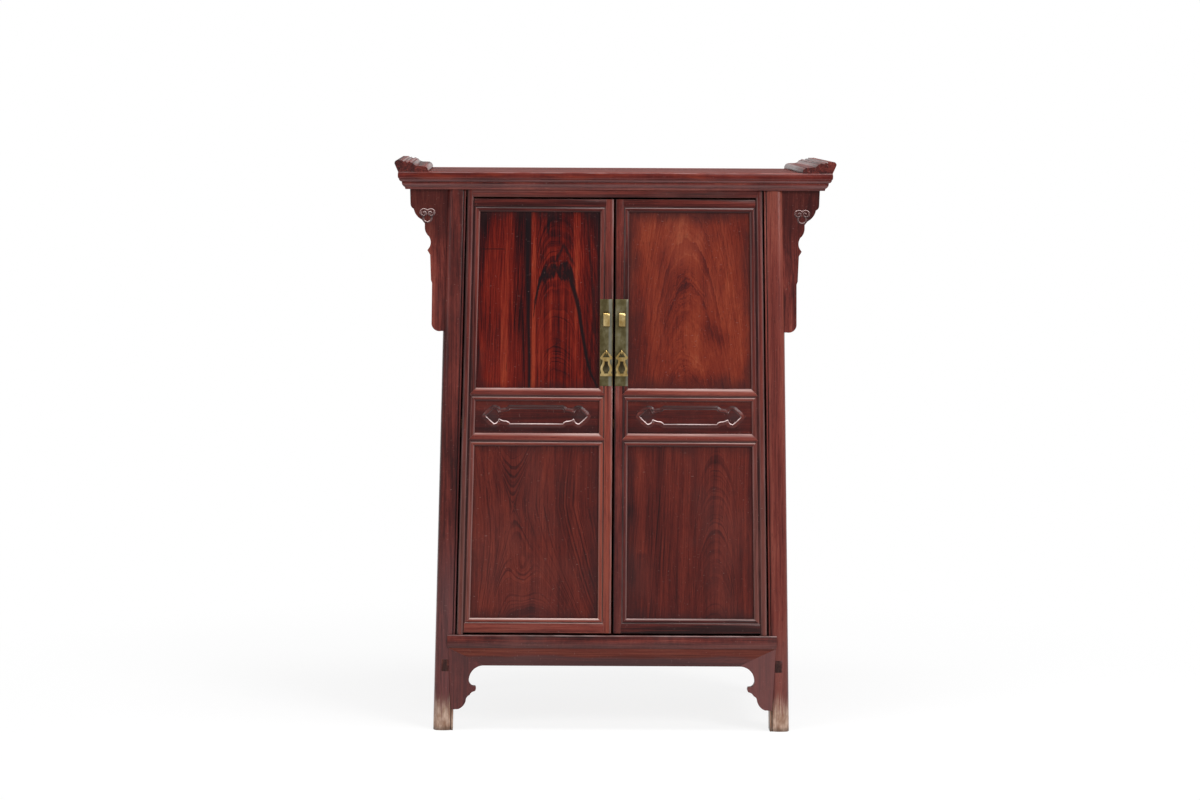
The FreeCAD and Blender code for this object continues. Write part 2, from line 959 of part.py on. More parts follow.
def top_end():
    bar = top_section(left_inset).extrude(V(0, top_depth, 0))
    outline = [
        (-half_width, -half_depth),
        (-open_width, -open_depth),
        (-open_width, open_depth),
        (-half_width, half_depth),
    ]
    bar = bar.common(plan_board(outline, top_under - overrun, top_height + overrun))
    mortised = bar.cut([top_groove()])
    tenon = mitre_tenon_box()
    return joined([mortised, tenon, mirror_back(tenon), flange()])


def top_panel():
    play = edge_play
    low = top_height - top_panel_thickness
    board = box(
        -open_width + play, open_width - play, -open_depth + play, open_depth - play, low, top_height
    )
    tongue_high = top_height - tongue_drop
    rim = box(
        -open_width - tongue,
        open_width + tongue,
        -open_depth - tongue,
        open_depth + tongue,
        tongue_high - tongue_thickness,
        tongue_high,
    )
    return joined([board, rim])


# Doors, drawn as the left door and leaned with the front

def door_edge(height):
    return -front_clear(height) + hinge_gap


def stile_edge(height):
    return door_edge(height) + stile_width


def meeting_line(height):
    return meeting_inner


def frame_steps(width):
    """The moulded face of a frame member from its outer edge: a crowned field, a quirk and a rounded lip."""
    lip_start = width - frame_lip
    field = lip_start - frame_quirk
    return [
        ((field / 2, door_face), (field, door_face + field_crown)),
        ((field + frame_quirk / 2, door_face + frame_quirk_depth),),
        ((lip_start, door_face + frame_lip_crown),),
        ((lip_start + frame_lip / 2, door_face), (width, door_face + frame_lip_crown)),
        ((width, door_back),),
        ((0, door_back),),
        ((0, door_face + field_crown),),
    ]


def moulded_rail(width, outer, inward):
    """A door rail whose outer edge is at a height, its moulding running towards the panel."""
    def view(across, depth):
        return V(door_edge(0), depth, outer + inward * across)

    face = traced_face((0, door_face + field_crown), frame_steps(width), view)
    return face.extrude(V(-door_edge(0), 0, 0))


def pointed_end_rail(outer, inner):
    """Front view of the top or bottom rail: mitred for the depth of its points, then square."""
    step = point_depth if outer > inner else -point_depth
    corner = inner + step
    return front_board(
        [
            (stile_edge(inner), inner),
            (stile_edge(corner) - point_depth, corner),
            (stile_edge(outer) - point_depth, outer),
            (meeting_inner + point_depth, outer),
            (meeting_inner + point_depth, corner),
            (meeting_inner, inner),
        ],
        -overrun,
        door_back + overrun,
    )


def pointed_middle_rail(low, high):
    """Front view of a middle rail: both ends come to a point in the stiles."""
    middle = (low + high) / 2
    return front_board(
        [
            (stile_edge(low), low),
            (stile_edge(middle) - point_depth, middle),
            (stile_edge(high), high),
            (meeting_inner, high),
            (meeting_inner + point_depth, middle),
            (meeting_inner, low),
        ],
        -overrun,
        door_back + overrun,
    )


def door_tenon(low, high):
    left = stile_edge((low + high) / 2) - point_depth - door_tenon_length
    right = meeting_inner + point_depth + door_tenon_length
    back = door_tenon_setback + door_tenon_thickness
    return box(left, right, door_tenon_setback, back, low, high)


def door_board(low, high, grow, swell):
    back = door_panel_front + door_panel_thickness
    return sloping_board(stile_edge, meeting_line, low, high, door_panel_front, back, grow, swell)


panel_spans = {
    "upper_panel": (upper_panel_bottom, upper_panel_top),
    "waist_panel": (waist_bottom, waist_top),
    "lower_panel": (lower_panel_bottom, lower_panel_top),
}
middle_spans = [(waist_top, upper_panel_bottom), (lower_panel_top, waist_bottom)]
door_grooves = [door_board(low, high, door_panel_groove, face_play) for low, high in panel_spans.values()]
top_rail_outline = pointed_end_rail(door_top, upper_panel_top)
bottom_rail_outline = pointed_end_rail(door_bottom, lower_panel_bottom)
middle_outlines = [pointed_middle_rail(low, high) for low, high in middle_spans]
rail_outlines = [top_rail_outline, bottom_rail_outline] + middle_outlines
top_tenon_high = door_top - (door_top_rail - door_tenon_height) / 2
top_door_tenon = door_tenon(top_tenon_high - door_tenon_height, top_tenon_high)
bottom_tenon_low = door_bottom + (door_bottom_rail - door_tenon_height) / 2
bottom_door_tenon = door_tenon(bottom_tenon_low, bottom_tenon_low + door_tenon_height)
middle_door_tenons = []
for span_low, span_high in middle_spans:
    span_middle = (span_low + span_high) / 2
    half_tenon = middle_tenon_height / 2
    middle_door_tenons.append(door_tenon(span_middle - half_tenon, span_middle + half_tenon))
door_tenons = [top_door_tenon, bottom_door_tenon] + middle_door_tenons


def hinge_stile():
    """The outer stile: its rounded edge bead runs on above and below the door as wooden pivots."""
    lip_start = stile_width - frame_lip
    start = (stile_inset, bead_depth)
    quirk = door_face + frame_quirk_depth
    turn = stile_ease * (1 - math.sqrt(0.5))
    steps = [
        ((bead_radius, bead_depth),),
        ((bead_radius + bead_radius / 2, quirk),),
        ((lip_start - frame_quirk, quirk),),
        ((lip_start, door_face + frame_lip_crown),),
        ((lip_start + frame_lip / 2, door_face), (stile_width, door_face + frame_lip_crown)),
        ((stile_width, door_back),),
        ((stile_inset + stile_ease, door_back),),
        ((stile_inset + turn, door_back - turn), (stile_inset, door_back - stile_ease)),
        (start,),
    ]
    blade = traced_face(start, steps, plan_view).extrude(UP * top_height)
    blade.rotate(ORIGIN, BACK, lean_across)
    blade.translate(V(door_edge(0), 0, 0))
    slab = box(-foot_width, foot_width, -overrun, door_back + overrun, door_bottom, door_top)
    blade = blade.common(slab).cut(rail_outlines + door_grooves + door_tenons)
    rods = [
        pivot_rod(bead_radius, bead_bottom, bead_top),
        pivot_rod(pin_radius, bead_bottom - lower_pin, door_bottom),
        pivot_rod(pin_radius, door_top, bead_top + upper_pin),
    ]
    return joined([blade] + rods)


def meeting_stile():
    def view(across, depth):
        return V(meeting_outer - across, depth, door_bottom)

    face = traced_face((0, door_face + field_crown), frame_steps(meeting_width), view)
    bar = face.extrude(V(0, 0, door_top - door_bottom))
    seat = plate_seat(edge_play)
    holes = [staple_shanks(), eye_rod()]
    return bar.cut(rail_outlines + door_grooves + door_tenons + [seat] + holes)


def door_rail(outer, inner, width, outline, tenon):
    inward = 1 if inner > outer else -1
    bar = moulded_rail(width, outer, inward).common(outline)
    return joined([bar.cut(door_grooves), tenon])


def middle_rail_bar(low, high):
    """A middle rail's moulding: a rounded bead over a quirk and a narrow lip that stands back a little."""
    lip_high = low + middle_lip
    bead_low = lip_high + frame_quirk
    bead_edge = door_face + middle_crown
    lip_crest = door_face + middle_lip_setback
    lip_edge = lip_crest + middle_lip_crown
    steps = [
        ((door_back, high),),
        ((bead_edge, high),),
        ((door_face, (bead_low + high) / 2), (bead_edge, bead_low)),
        ((door_face + middle_quirk_depth, lip_high + frame_quirk / 2),),
        ((lip_edge, lip_high),),
        ((lip_crest, low + middle_lip / 2), (lip_edge, low)),
        ((door_back, low),),
    ]
    bar = traced_face((door_back, low), steps, end_view).extrude(V(foot_width, 0, 0))
    bar.translate(V(-foot_width, 0, 0))
    return bar


def middle_rails():
    bars = []
    for (low, high), outline, tenon in zip(middle_spans, middle_outlines, middle_door_tenons):
        bar = middle_rail_bar(low, high)
        bars.append(joined([bar.common(outline).cut(door_grooves), tenon]))
    return Part.makeCompound(bars)


def door_panel(name):
    low, high = panel_spans[name]
    return door_board(low, high, door_panel_groove - edge_play, 0)


# Brass

plate_middle = meeting_outer - meeting_width / 2
plate_front = door_face
plate_back = plate_front + plate_thickness


def plate_seat(play):
    """Room for the face plate, cleared to the front of the stile."""
    half = meeting_width / 2 + play
    high = plate_bottom + plate_height
    return box(plate_middle - half, plate_middle + half, -overrun, plate_back, plate_bottom, high)


def face_plate():
    half = plate_width / 2
    high = plate_bottom + plate_height
    plate = box(plate_middle - half, plate_middle + half, plate_front, plate_back, plate_bottom, high)
    return plate.cut([staple_shanks(), eye_rod()])


def staple_shanks():
    """The staple's two legs where they pass through the plate into the stile."""
    half = staple_width / 2
    high = staple_bottom + staple_height
    back = plate_front + staple_shank
    low_leg = box(
        plate_middle - half, plate_middle + half, plate_front, back, staple_bottom, staple_bottom + staple_strap
    )
    high_leg = box(plate_middle - half, plate_middle + half, plate_front, back, high - staple_strap, high)
    return low_leg.fuse(high_leg)


def lock_staple():
    """A bent strap that stands out of the plate, with its hole across for the lock's bar."""
    half = staple_width / 2
    high = staple_bottom + staple_height
    front = plate_front - staple_reach

    def bent(shrink):
        corner = staple_corner - shrink
        low = staple_bottom + shrink
        head = high - shrink
        nose = front + shrink
        turn = corner * (1 - math.sqrt(0.5))
        steps = [
            ((nose + corner, low),),
            ((nose + turn, low + turn), (nose, low + corner)),
            ((nose, head - corner),),
            ((nose + turn, head - turn), (nose + corner, head)),
            ((plate_front, head),),
            ((plate_front, low),),
        ]
        face = traced_face((plate_front, low), steps, end_view)
        face.translate(V(plate_middle - half, 0, 0))
        return face.extrude(V(staple_width, 0, 0))

    return joined([bent(0).cut(bent(staple_strap)), staple_shanks()])


def eye_rod():
    """The shank of the pull's eye, through the plate into the stile."""
    half = eye_strip / 2
    front = plate_front - pull_axis_reach + eye_inner + half
    return box(
        plate_middle - half,
        plate_middle + half,
        front,
        plate_front + eye_shank,
        pull_axis_height - half,
        pull_axis_height + half,
    )


def pull_eye():
    """A strip bent round into an eye, its two ends driven through the plate as one shank."""
    start = V(plate_middle - eye_strip / 2, plate_front - pull_axis_reach, pull_axis_height)
    outside = Part.makeCylinder(eye_inner + eye_strip, eye_strip, start, ACROSS)
    inside = Part.makeCylinder(eye_inner, eye_strip, start, ACROSS)
    return joined([outside, eye_rod()]).cut(inside)


def pull():
    """A vase-shaped pendant drawn about its own axis, with the bar it hangs by over a three-cornered hole."""
    def place(across, along):
        return V(across, -pull_thickness / 2, along)

    def symmetric(start, steps):
        """Steps down the right side and back up the left."""
        ends = [start] + [step[-1] for step in steps]
        back_steps = [((-ends[-1][0], ends[-1][1]),)]
        for step, end in zip(reversed(steps), reversed(ends[:-1])):
            middle = [(-point[0], point[1]) for point in step[:-1]]
            back_steps.append(tuple(middle + [(-end[0], end[1])]))
        return steps + back_steps + [(start,)]

    def slab(start, steps):
        return traced_face(start, symmetric(start, steps), place).extrude(V(0, pull_thickness, 0))

    body = slab(
        (pull_crest_share * pull_half_width, pull_crest), scaled_steps(pull_shares, pull_half_width, pull_length)
    )
    hanger = scaled_steps([hanger_shares[:1], hanger_shares[1:]], pull_half_width, pull_length)
    hanger_start = (hanger[0][0][0], -pull_bar)
    hole = slab(hanger_start, [hanger[1]])
    vase_start = (vase_start_share[0] * pull_half_width, vase_start_share[1] * pull_length)
    vase = slab(vase_start, scaled_steps(vase_shares, pull_half_width, pull_length))
    return body.cut([hole, vase])


# Assembly

def keep(name, shape):
    parts[name] = shape


def keep_pair(name, shape):
    keep("left_" + name, shape)
    keep("right_" + name, mirror_right(shape))


hanging_bar = hanging_tongue_bar()
hanging_left = hanging_spandrel()
hanging_left = joined([hanging_left, hanging_bar.common(front_left_blank.fuse(hanging_left))])
hanging_mortise = hanging_bar

front_mortises = [lower_tenon, upper_tenon, side_upper_tenon, side_groove, hanging_mortise, spandrel_tongue()]
front_mortises += through_tenons
back_mortises = back_tenons + back_grooves + through_tenons
back_mortises += [side_upper_tenon, side_groove, hanging_mortise]
front_leg = joined([front_left_blank, leg_top_tenon()]).cut(front_mortises)
rear_leg = joined([front_left_blank, leg_top_tenon()]).cut(back_mortises)
keep("front_left_leg", front_leg)
keep("front_right_leg", mirror_right(front_leg))
keep("rear_left_leg", mirror_back(rear_leg))
keep("rear_right_leg", mirror_right(mirror_back(rear_leg)))

keep("top_front_member", top_front())
keep("top_rear_member", top_rear())
left_end = top_end()
keep("top_left_end", left_end)
keep("top_right_end", mirror_right(left_end))
keep("top_panel", top_panel())
keep("top_braces", Part.makeCompound([brace(-1, 0), brace(1, 0)]))

keep("front_left_hanging_spandrel", hanging_left)
keep("front_right_hanging_spandrel", mirror_right(hanging_left))
rear_hanging = mirror_back(hanging_left)
keep("rear_hanging_spandrels", Part.makeCompound([rear_hanging, mirror_right(rear_hanging)]))

keep("front_upper_rail", front_upper_rail())
keep("front_lower_rail", front_lower_rail())
keep("front_apron", front_apron())
left_spandrel = apron_spandrel()
keep("front_left_apron_spandrel", left_spandrel)
keep("front_right_apron_spandrel", mirror_right(left_spandrel))

keep_pair("side_upper_rail", side_upper_rail())
keep_pair("side_lower_rail", side_lower_rail())
keep_pair("side_panel", side_panel)
keep_pair("side_apron", side_apron())

keep("rear_lower_rail", back_frame_rail(lower_rail_bottom, back_lower_top, back_low_tenon))
keep("rear_middle_rail", back_frame_rail(back_middle_bottom, back_middle_top, back_mid_tenon))
keep("rear_upper_rail", back_frame_rail(back_upper_bottom, top_under + overrun, back_up_tenon))
back_grow = panel_groove - edge_play
keep("rear_lower_panel", mirror_back(back_board(back_lower_top, back_middle_bottom, back_grow, 0)))
keep("rear_upper_panel", mirror_back(back_board(back_middle_top, back_upper_bottom, back_grow, 0)))
keep("rear_apron", rear_apron())

keep("floor_board", floor_board())
keep("shelf", shelf_board())
bearer = shelf_bearer()
keep("shelf_bearers", Part.makeCompound([bearer, mirror_right(bearer)]))

door_pieces = {
    "hinge_stile": hinge_stile(),
    "meeting_stile": meeting_stile(),
    "top_rail": door_rail(door_top, upper_panel_top, door_top_rail, top_rail_outline, top_door_tenon),
    "bottom_rail": door_rail(
        door_bottom, lower_panel_bottom, door_bottom_rail, bottom_rail_outline, bottom_door_tenon
    ),
    "middle_rails": middle_rails(),
    "upper_panel": door_panel("upper_panel"),
    "waist_panel": door_panel("waist_panel"),
    "lower_panel": door_panel("lower_panel"),
    "face_plate": face_plate(),
    "lock_staple": lock_staple(),
    "pull_eye": pull_eye(),
}
for piece, shape in door_pieces.items():
    keep_pair("door_" + piece, on_front(shape))

pull_axis = on_front(Part.Vertex(V(plate_middle, plate_front - pull_axis_reach, pull_axis_height))).Point
hanging_pull = pull()
hanging_pull.translate(pull_axis)
keep_pair("door_pull", hanging_pull)

os.makedirs("parts", exist_ok=True)
for name, shape in parts.items():
    shape.exportStep(os.path.join("parts", name + ".step"))

low_pivot = on_front(Part.Vertex(pivot_point(door_bottom))).Point
high_pivot = on_front(Part.Vertex(pivot_point(door_top))).Point
print("left door pivot from", tuple(low_pivot), "to", tuple(high_pivot))
print("left pull axis through", tuple(pull_axis))
print(len(parts), "nodes")
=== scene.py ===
import math

import bmesh
import bpy
from mathutils import Matrix, Vector


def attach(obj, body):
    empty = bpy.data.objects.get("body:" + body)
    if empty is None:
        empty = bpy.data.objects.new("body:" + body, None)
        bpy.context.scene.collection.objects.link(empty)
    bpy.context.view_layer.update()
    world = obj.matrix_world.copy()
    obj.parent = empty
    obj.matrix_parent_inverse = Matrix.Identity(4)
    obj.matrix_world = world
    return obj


# A low rosewood cabinet with splayed legs, everted ends, two panelled doors and brass pulls.
# Metres, X to the right across the front, Y to the back, Z up, as in the frame.

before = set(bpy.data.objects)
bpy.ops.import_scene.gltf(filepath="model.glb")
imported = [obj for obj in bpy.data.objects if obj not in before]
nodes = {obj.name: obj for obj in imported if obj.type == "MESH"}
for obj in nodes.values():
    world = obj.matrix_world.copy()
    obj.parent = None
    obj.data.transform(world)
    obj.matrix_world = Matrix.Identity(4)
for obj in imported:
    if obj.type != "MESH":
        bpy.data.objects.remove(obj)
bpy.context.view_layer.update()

# The front's plane at the floor
FRONT = -0.1605
# It leans back with the legs by so much over such a height, both in millimetres
LEAN_BACK = 8.0
LEAN_HEIGHT = 766.3
LEAN = math.atan(LEAN_BACK / LEAN_HEIGHT)

# Heights of the upper edges of the top and of the front lower rail
TOP = 0.7905
RAIL_TOP = 0.1367
# The hinge stile's outer edge at the floor, and how far it comes in over each metre of height
STILE_FOOT = 0.22320
STILE_LEAN = 0.02153
# The meeting stiles' edges, from the middle
MEETING_EDGE = 0.0015
# Heights of the grooves in the doors' rails, and half their width
RAIL_GROOVES = (0.7414, 0.4746, 0.4109, 0.1542)
RAIL_GROOVE_HALF = 0.0010
# The middle of the through tenons, and where their ends start, from the middle of the depth
TENON_X = 0.2362
TENON_END = (0.1530, 0.1535)
# What shows of each panel: left, right, low and high
UPPER_LEFT = (-0.1960, -0.0195, 0.4875, 0.7350)
UPPER_RIGHT = (0.0195, 0.1965, 0.4875, 0.7350)
LOWER_LEFT = (-0.2015, -0.0195, 0.1600, 0.4080)
LOWER_RIGHT = (0.0195, 0.2065, 0.1600, 0.4080)
WAISTS = (-0.2050, 0.2050, 0.4245, 0.4690)
# The middle of each waist panel's cartouche, half its length and height, and where its points are
CARTOUCHE_X = 0.1085
CARTOUCHE_Z = 0.4473
CARTOUCHE_HALF_LENGTH = 0.0725
CARTOUCHE_HALF_HEIGHT = 0.0114
CARTOUCHE_POINT = 0.0620
# The middle of the carving on each front hanging spandrel, and half its width and height
CLOUD_X = 0.2630
CLOUD_Z = 0.7290
CLOUD_HALF_WIDTH = 0.0098
CLOUD_HALF_HEIGHT = 0.0092
# How far behind the front's plane the carved panels and spandrels lie
WAIST_DEPTH = 0.0046
SPANDREL_DEPTH = 0.0048
# The middle of each face plate, and the height of the pull's middle
PLATE_X = 0.0109
PULL_Z = 0.5215


def on_front(x, z, depth=0.0):
    """A point by its place across and up the front, at a depth behind the legs' front plane."""
    y = FRONT + depth * math.cos(LEAN) + z * math.sin(LEAN)
    return Vector((x, y, z * math.cos(LEAN) - depth * math.sin(LEAN)))


# Node building

def add_object(name, data):
    made = bpy.data.objects.new(name, data)
    bpy.context.scene.collection.objects.link(made)
    return made


def empty_tree(owner):
    """The node tree of a material or world, cleared."""
    owner.use_nodes = True
    owner.node_tree.nodes.clear()
    return owner.node_tree


def plug(tree, socket, value):
    """Links a socket to another, or sets its value."""
    if isinstance(value, bpy.types.NodeSocket):
        tree.links.new(value, socket)
    elif value is not None:
        socket.default_value = value


def add_node(tree, kind, inputs=(), **settings):
    """A node with its settings and its inputs."""
    made = tree.nodes.new(kind)
    for name, value in settings.items():
        setattr(made, name, value)
    for key, value in dict(inputs).items():
        plug(tree, made.inputs[key], value)
    return made


def opaque(colour):
    """A colour of three numbers with its fourth, or a socket as it is."""
    return colour if isinstance(colour, bpy.types.NodeSocket) else (*colour, 1.0)


class Graph:
    """A material under construction: short calls add its nodes and link them."""

    def __init__(self, name):
        self.material = bpy.data.materials.new(name)
        self.tree = empty_tree(self.material)
        self.shader = self.node("ShaderNodeBsdfPrincipled")
        self.node("ShaderNodeOutputMaterial", {"Surface": self.shader.outputs[0]})
        coordinates = self.node("ShaderNodeTexCoord")
        self.place = coordinates.outputs["Object"]
        split = self.node("ShaderNodeSeparateXYZ", {0: self.place})
        self.x, self.y, self.z = split.outputs[0], split.outputs[1], split.outputs[2]
        turned = self.node("ShaderNodeSeparateXYZ", {0: coordinates.outputs["Normal"]})
        self.aside, self.up = turned.outputs[0], turned.outputs[2]
        self.deep = self.sub(self.sub(self.y, FRONT), self.mul(self.z, math.sin(LEAN)))

    def node(self, kind, inputs=(), **settings):
        return add_node(self.tree, kind, inputs, **settings)

    def math(self, operation, a, b=None):
        return self.node("ShaderNodeMath", {0: a, 1: b}, operation=operation).outputs[0]

    def add(self, a, b):
        return self.math("ADD", a, b)

    def sub(self, a, b):
        return self.math("SUBTRACT", a, b)

    def mul(self, a, b):
        return self.math("MULTIPLY", a, b)

    def absolute(self, a):
        return self.math("ABSOLUTE", a)

    def gap(self, a, b):
        return self.absolute(self.sub(a, b))

    def most(self, first, *others):
        for other in others:
            first = self.math("MAXIMUM", first, other)
        return first

    def least(self, a, b):
        return self.math("MINIMUM", a, b)

    def swing(self, value, amount):
        """How far a value is from a half, times an amount."""
        return self.mul(self.sub(value, 0.5), amount)

    def join(self, x, y, z):
        return self.node("ShaderNodeCombineXYZ", {0: x, 1: y, 2: z}).outputs[0]

    def times(self, vector, factors):
        return self.node("ShaderNodeVectorMath", {0: vector, 1: factors}, operation="MULTIPLY").outputs[0]

    def plus(self, vector, other):
        return self.node("ShaderNodeVectorMath", {0: vector, 1: other}, operation="ADD").outputs[0]

    def fade(self, value, low, high, start=0.0, end=1.0):
        """Start below low, end above high, and smooth between them."""
        inputs = {0: value, 1: low, 2: high, 3: start, 4: end}
        return self.node("ShaderNodeMapRange", inputs, interpolation_type="SMOOTHSTEP").outputs[0]

    def within(self, value, a, b, c, d):
        """1 from b to c, falling off to 0 at a and at d."""
        return self.mul(self.fade(value, a, b), self.fade(value, c, d, 1.0, 0.0))

    def noise(self, at, scales, detail=2.0, roughness=0.5, distortion=0.0, shift=None):
        """Noise over places scaled along each axis, and moved along all three by a shift."""
        vector = self.times(at, scales)
        if shift is not None:
            vector = self.plus(vector, (shift, shift, shift))
        inputs = {"Vector": vector, "Scale": 1.0, "Detail": detail, "Roughness": roughness}
        inputs["Distortion"] = distortion
        return self.node("ShaderNodeTexNoise", inputs).outputs["Fac"]

    def noise_of(self, value, detail):
        """Noise along one number."""
        inputs = {"W": value, "Scale": 1.0, "Detail": detail, "Roughness": 0.5}
        return self.node("ShaderNodeTexNoise", inputs, noise_dimensions="1D").outputs["Fac"]

    def patches(self, scales, low, high, start=0.0, end=1.0, detail=3.0, roughness=0.6):
        """Soft-edged patches: start where the noise is below low, end where it is above high."""
        return self.fade(self.noise(self.place, scales, detail, roughness), low, high, start, end)

    def ramp(self, value, stops):
        made = self.node("ShaderNodeValToRGB", {0: value})
        elements = made.color_ramp.elements
        elements.remove(elements[1])
        elements[0].position = stops[0][0]
        elements[0].color = opaque(stops[0][1])
        for place, colour in stops[1:]:
            elements.new(place).color = opaque(colour)
        return made.outputs[0]

    def mix(self, share, a, b):
        """Colour a, with a share of it turned into colour b."""
        return self.node("ShaderNodeMix", {0: share, 6: opaque(a), 7: opaque(b)}, data_type="RGBA").outputs[2]

    def drawn(self, value, points, low, high):
        """A smooth line drawn through points, read at a value. It stays between low and high."""
        start = points[0][0]
        reach = points[-1][0] - start
        share = self.math("DIVIDE", self.sub(value, start), reach)
        made = self.node("ShaderNodeFloatCurve", {1: share})
        line = made.mapping.curves[0]
        shares = [((at - start) / reach, (height - low) / (high - low)) for at, height in points]
        line.points[0].location = shares[0]
        line.points[1].location = shares[-1]
        for at, height in shares[1:-1]:
            line.points.new(at, height)
        made.mapping.update()
        return self.add(self.mul(made.outputs[0], high - low), low)

    def bump(self, height, distance, strength):
        inputs = {"Height": height, "Distance": distance, "Strength": strength}
        plug(self.tree, self.shader.inputs["Normal"], self.node("ShaderNodeBump", inputs).outputs[0])

    def finish(self, colour, roughness, **plain):
        plug(self.tree, self.shader.inputs["Base Color"], colour)
        plug(self.tree, self.shader.inputs["Roughness"], roughness)
        for name, value in plain.items():
            self.shader.inputs[name.replace("_", " ")].default_value = value
        return self.material


# Wood

# Where the upward part of a normal turns from a slope's into a level face's
LEVEL = (0.90, 0.98)
# How much each material's seed moves its grain along each axis
SEED_STEPS = (1.37, 2.11, 0.73)

# Colours of pores, haze, scratches, painted highlights and shade, dirt, figure, cracks and worn feet
PORE = (0.012, 0.004, 0.004)
PATINA = (0.20, 0.125, 0.115)
SCRATCH = (0.36, 0.21, 0.19)
# Painted highlights on mouldings and edges
PAINTED_SHEEN = (0.40, 0.245, 0.215)
STILE_SHEEN = (0.42, 0.29, 0.275)
MEETING_HIGHLIGHT = (0.46, 0.32, 0.30)
EDGE_HIGHLIGHT = (0.50, 0.36, 0.35)
# Painted shade under mouldings and in grooves, painted shade and dirt at the panels' rims, darker cartouche
# ends
UNDER_SHADE = (0.055, 0.030, 0.030)
GROOVE_SHADE = (0.012, 0.006, 0.007)
RIM_SHADE_AND_DIRT = (0.026, 0.009, 0.010)
CARTOUCHE_DARK = (0.040, 0.026, 0.027)
BLACK_FIGURE = (0.0075, 0.0042, 0.0055)
CRACK = (0.010, 0.004, 0.004)
FOOT_DARK = (0.33, 0.185, 0.120)
FOOT_LIGHT = (0.66, 0.475, 0.370)
FOOT_LINES = (0.22, 0.105, 0.070)
FOOT_DIRT = (0.060, 0.036, 0.026)

# Tones of each wood, from its dark streaks to its light ones
FRAME_TONES = [
    (0.30, (0.020, 0.006, 0.006)),
    (0.42, (0.058, 0.011, 0.010)),
    (0.52, (0.110, 0.020, 0.016)),
    (0.62, (0.165, 0.032, 0.024)),
    (0.74, (0.240, 0.060, 0.042)),
]
RED_TONES = [
    (0.24, (0.008, 0.002, 0.003)),
    (0.38, (0.044, 0.004, 0.0045)),
    (0.50, (0.102, 0.0075, 0.005)),
    (0.62, (0.168, 0.014, 0.008)),
    (0.76, (0.260, 0.036, 0.016)),
]
ORANGE_TONES = [
    (0.26, (0.042, 0.006, 0.006)),
    (0.40, (0.096, 0.011, 0.007)),
    (0.52, (0.160, 0.020, 0.010)),
    (0.64, (0.220, 0.034, 0.015)),
    (0.78, (0.290, 0.062, 0.028)),
]
BROWN_TONES = [
    (0.26, (0.018, 0.004, 0.004)),
    (0.40, (0.055, 0.008, 0.007)),
    (0.52, (0.100, 0.0145, 0.0105)),
    (0.64, (0.150, 0.024, 0.015)),
    (0.78, (0.215, 0.045, 0.026)),
]
PLAIN_TONES = [
    (0.24, (0.140, 0.058, 0.026)),
    (0.40, (0.250, 0.118, 0.056)),
    (0.52, (0.345, 0.172, 0.085)),
    (0.64, (0.430, 0.230, 0.120)),
    (0.80, (0.520, 0.300, 0.168)),
]


def along_grain(g, grain, seed):
    """Object coordinates turned so that the grain runs along the last one, moved apart by a seed."""
    order = {"X": (g.z, g.y, g.x), "Y": (g.x, g.z, g.y), "Z": (g.x, g.y, g.z)}
    return g.plus(g.join(*order[grain]), tuple(seed * step for step in SEED_STEPS))


def wood(name, grain, seed, tones, figure=None, extra=None, sheen=0.32, contrast=1.0, curl=0.004, lift=0.0,
         gloss=0.10, haze=0.045, lip=0.0, worn_and_sheen=PAINTED_SHEEN, dust=0.0):
    """Lacquered wood: broad and fine streaks, growth lines, pores, hazy patina, scratches, and painted
    highlights and shade on mouldings.

    figure reshapes the streaks, extra adds to the colour, contrast and lift spread and move the tones, curl
    bends the grain. sheen is roughness, gloss reflection, haze the patina, dust how dull level faces are. lip
    is how strongly moulded edges get painted highlights, in a colour of their own, where they turn up or
    aside, and painted shade where they turn down.
    """
    g = Graph(name)
    q = along_grain(g, grain, seed)
    bend = g.swing(g.noise(q, (9.0, 9.0, 3.2)), curl * 2)
    q = g.plus(q, g.join(bend, bend, 0.0))
    broad = g.noise(q, (34.0, 34.0, 1.3))
    streak = g.noise(q, (170.0, 170.0, 4.5), 4.0, 0.6)
    line = g.noise(q, (620.0, 620.0, 11.0), 3.0, 0.6)
    pores = g.fade(g.noise(q, (1900.0, 1900.0, 85.0), 1.0), 0.60, 0.72)
    value = g.add(g.add(g.mul(broad, 0.42), g.mul(streak, 0.36)), g.mul(g.sub(line, 0.15), 0.32))
    if figure:
        value = figure(g, value, line)
    value = g.add(g.swing(value, 1.75 * contrast), 0.5 + lift)
    colour = g.ramp(value, tones)
    colour = g.mix(g.mul(pores, 0.55), colour, PORE)
    colour = g.mix(g.mul(g.patches((11.0, 11.0, 7.0), 0.42, 0.75), haze), colour, PATINA)
    if extra:
        colour = extra(g, colour, line)
    if lip:
        colour = painted_sheen_and_shade(g, colour, streak, lip, worn_and_sheen)
    scratch = g.fade(g.noise(q, (260.0, 260.0, 900.0), 1.0, 0.5, 0.6), 0.735, 0.77)
    colour = g.mix(g.mul(scratch, 0.35), colour, SCRATCH)
    smear = g.noise(g.place, (30.0, 30.0, 22.0), 4.0, 0.6)
    roughness = g.add(g.add(sheen - 0.07, g.mul(smear, 0.14)), g.mul(pores, 0.12))
    if dust:
        roughness = g.add(roughness, g.mul(g.fade(g.up, *LEVEL), dust))
    plane = g.noise(q, (60.0, 60.0, 7.0))
    height = g.add(g.add(plane, g.mul(line, 0.16)), g.mul(pores, -0.3))
    g.bump(height, 0.0003, 0.55)
    return g.finish(
        colour, roughness, Specular_IOR_Level=gloss, Coat_Weight=gloss * 0.6, Coat_Roughness=0.16, IOR=1.48
    )


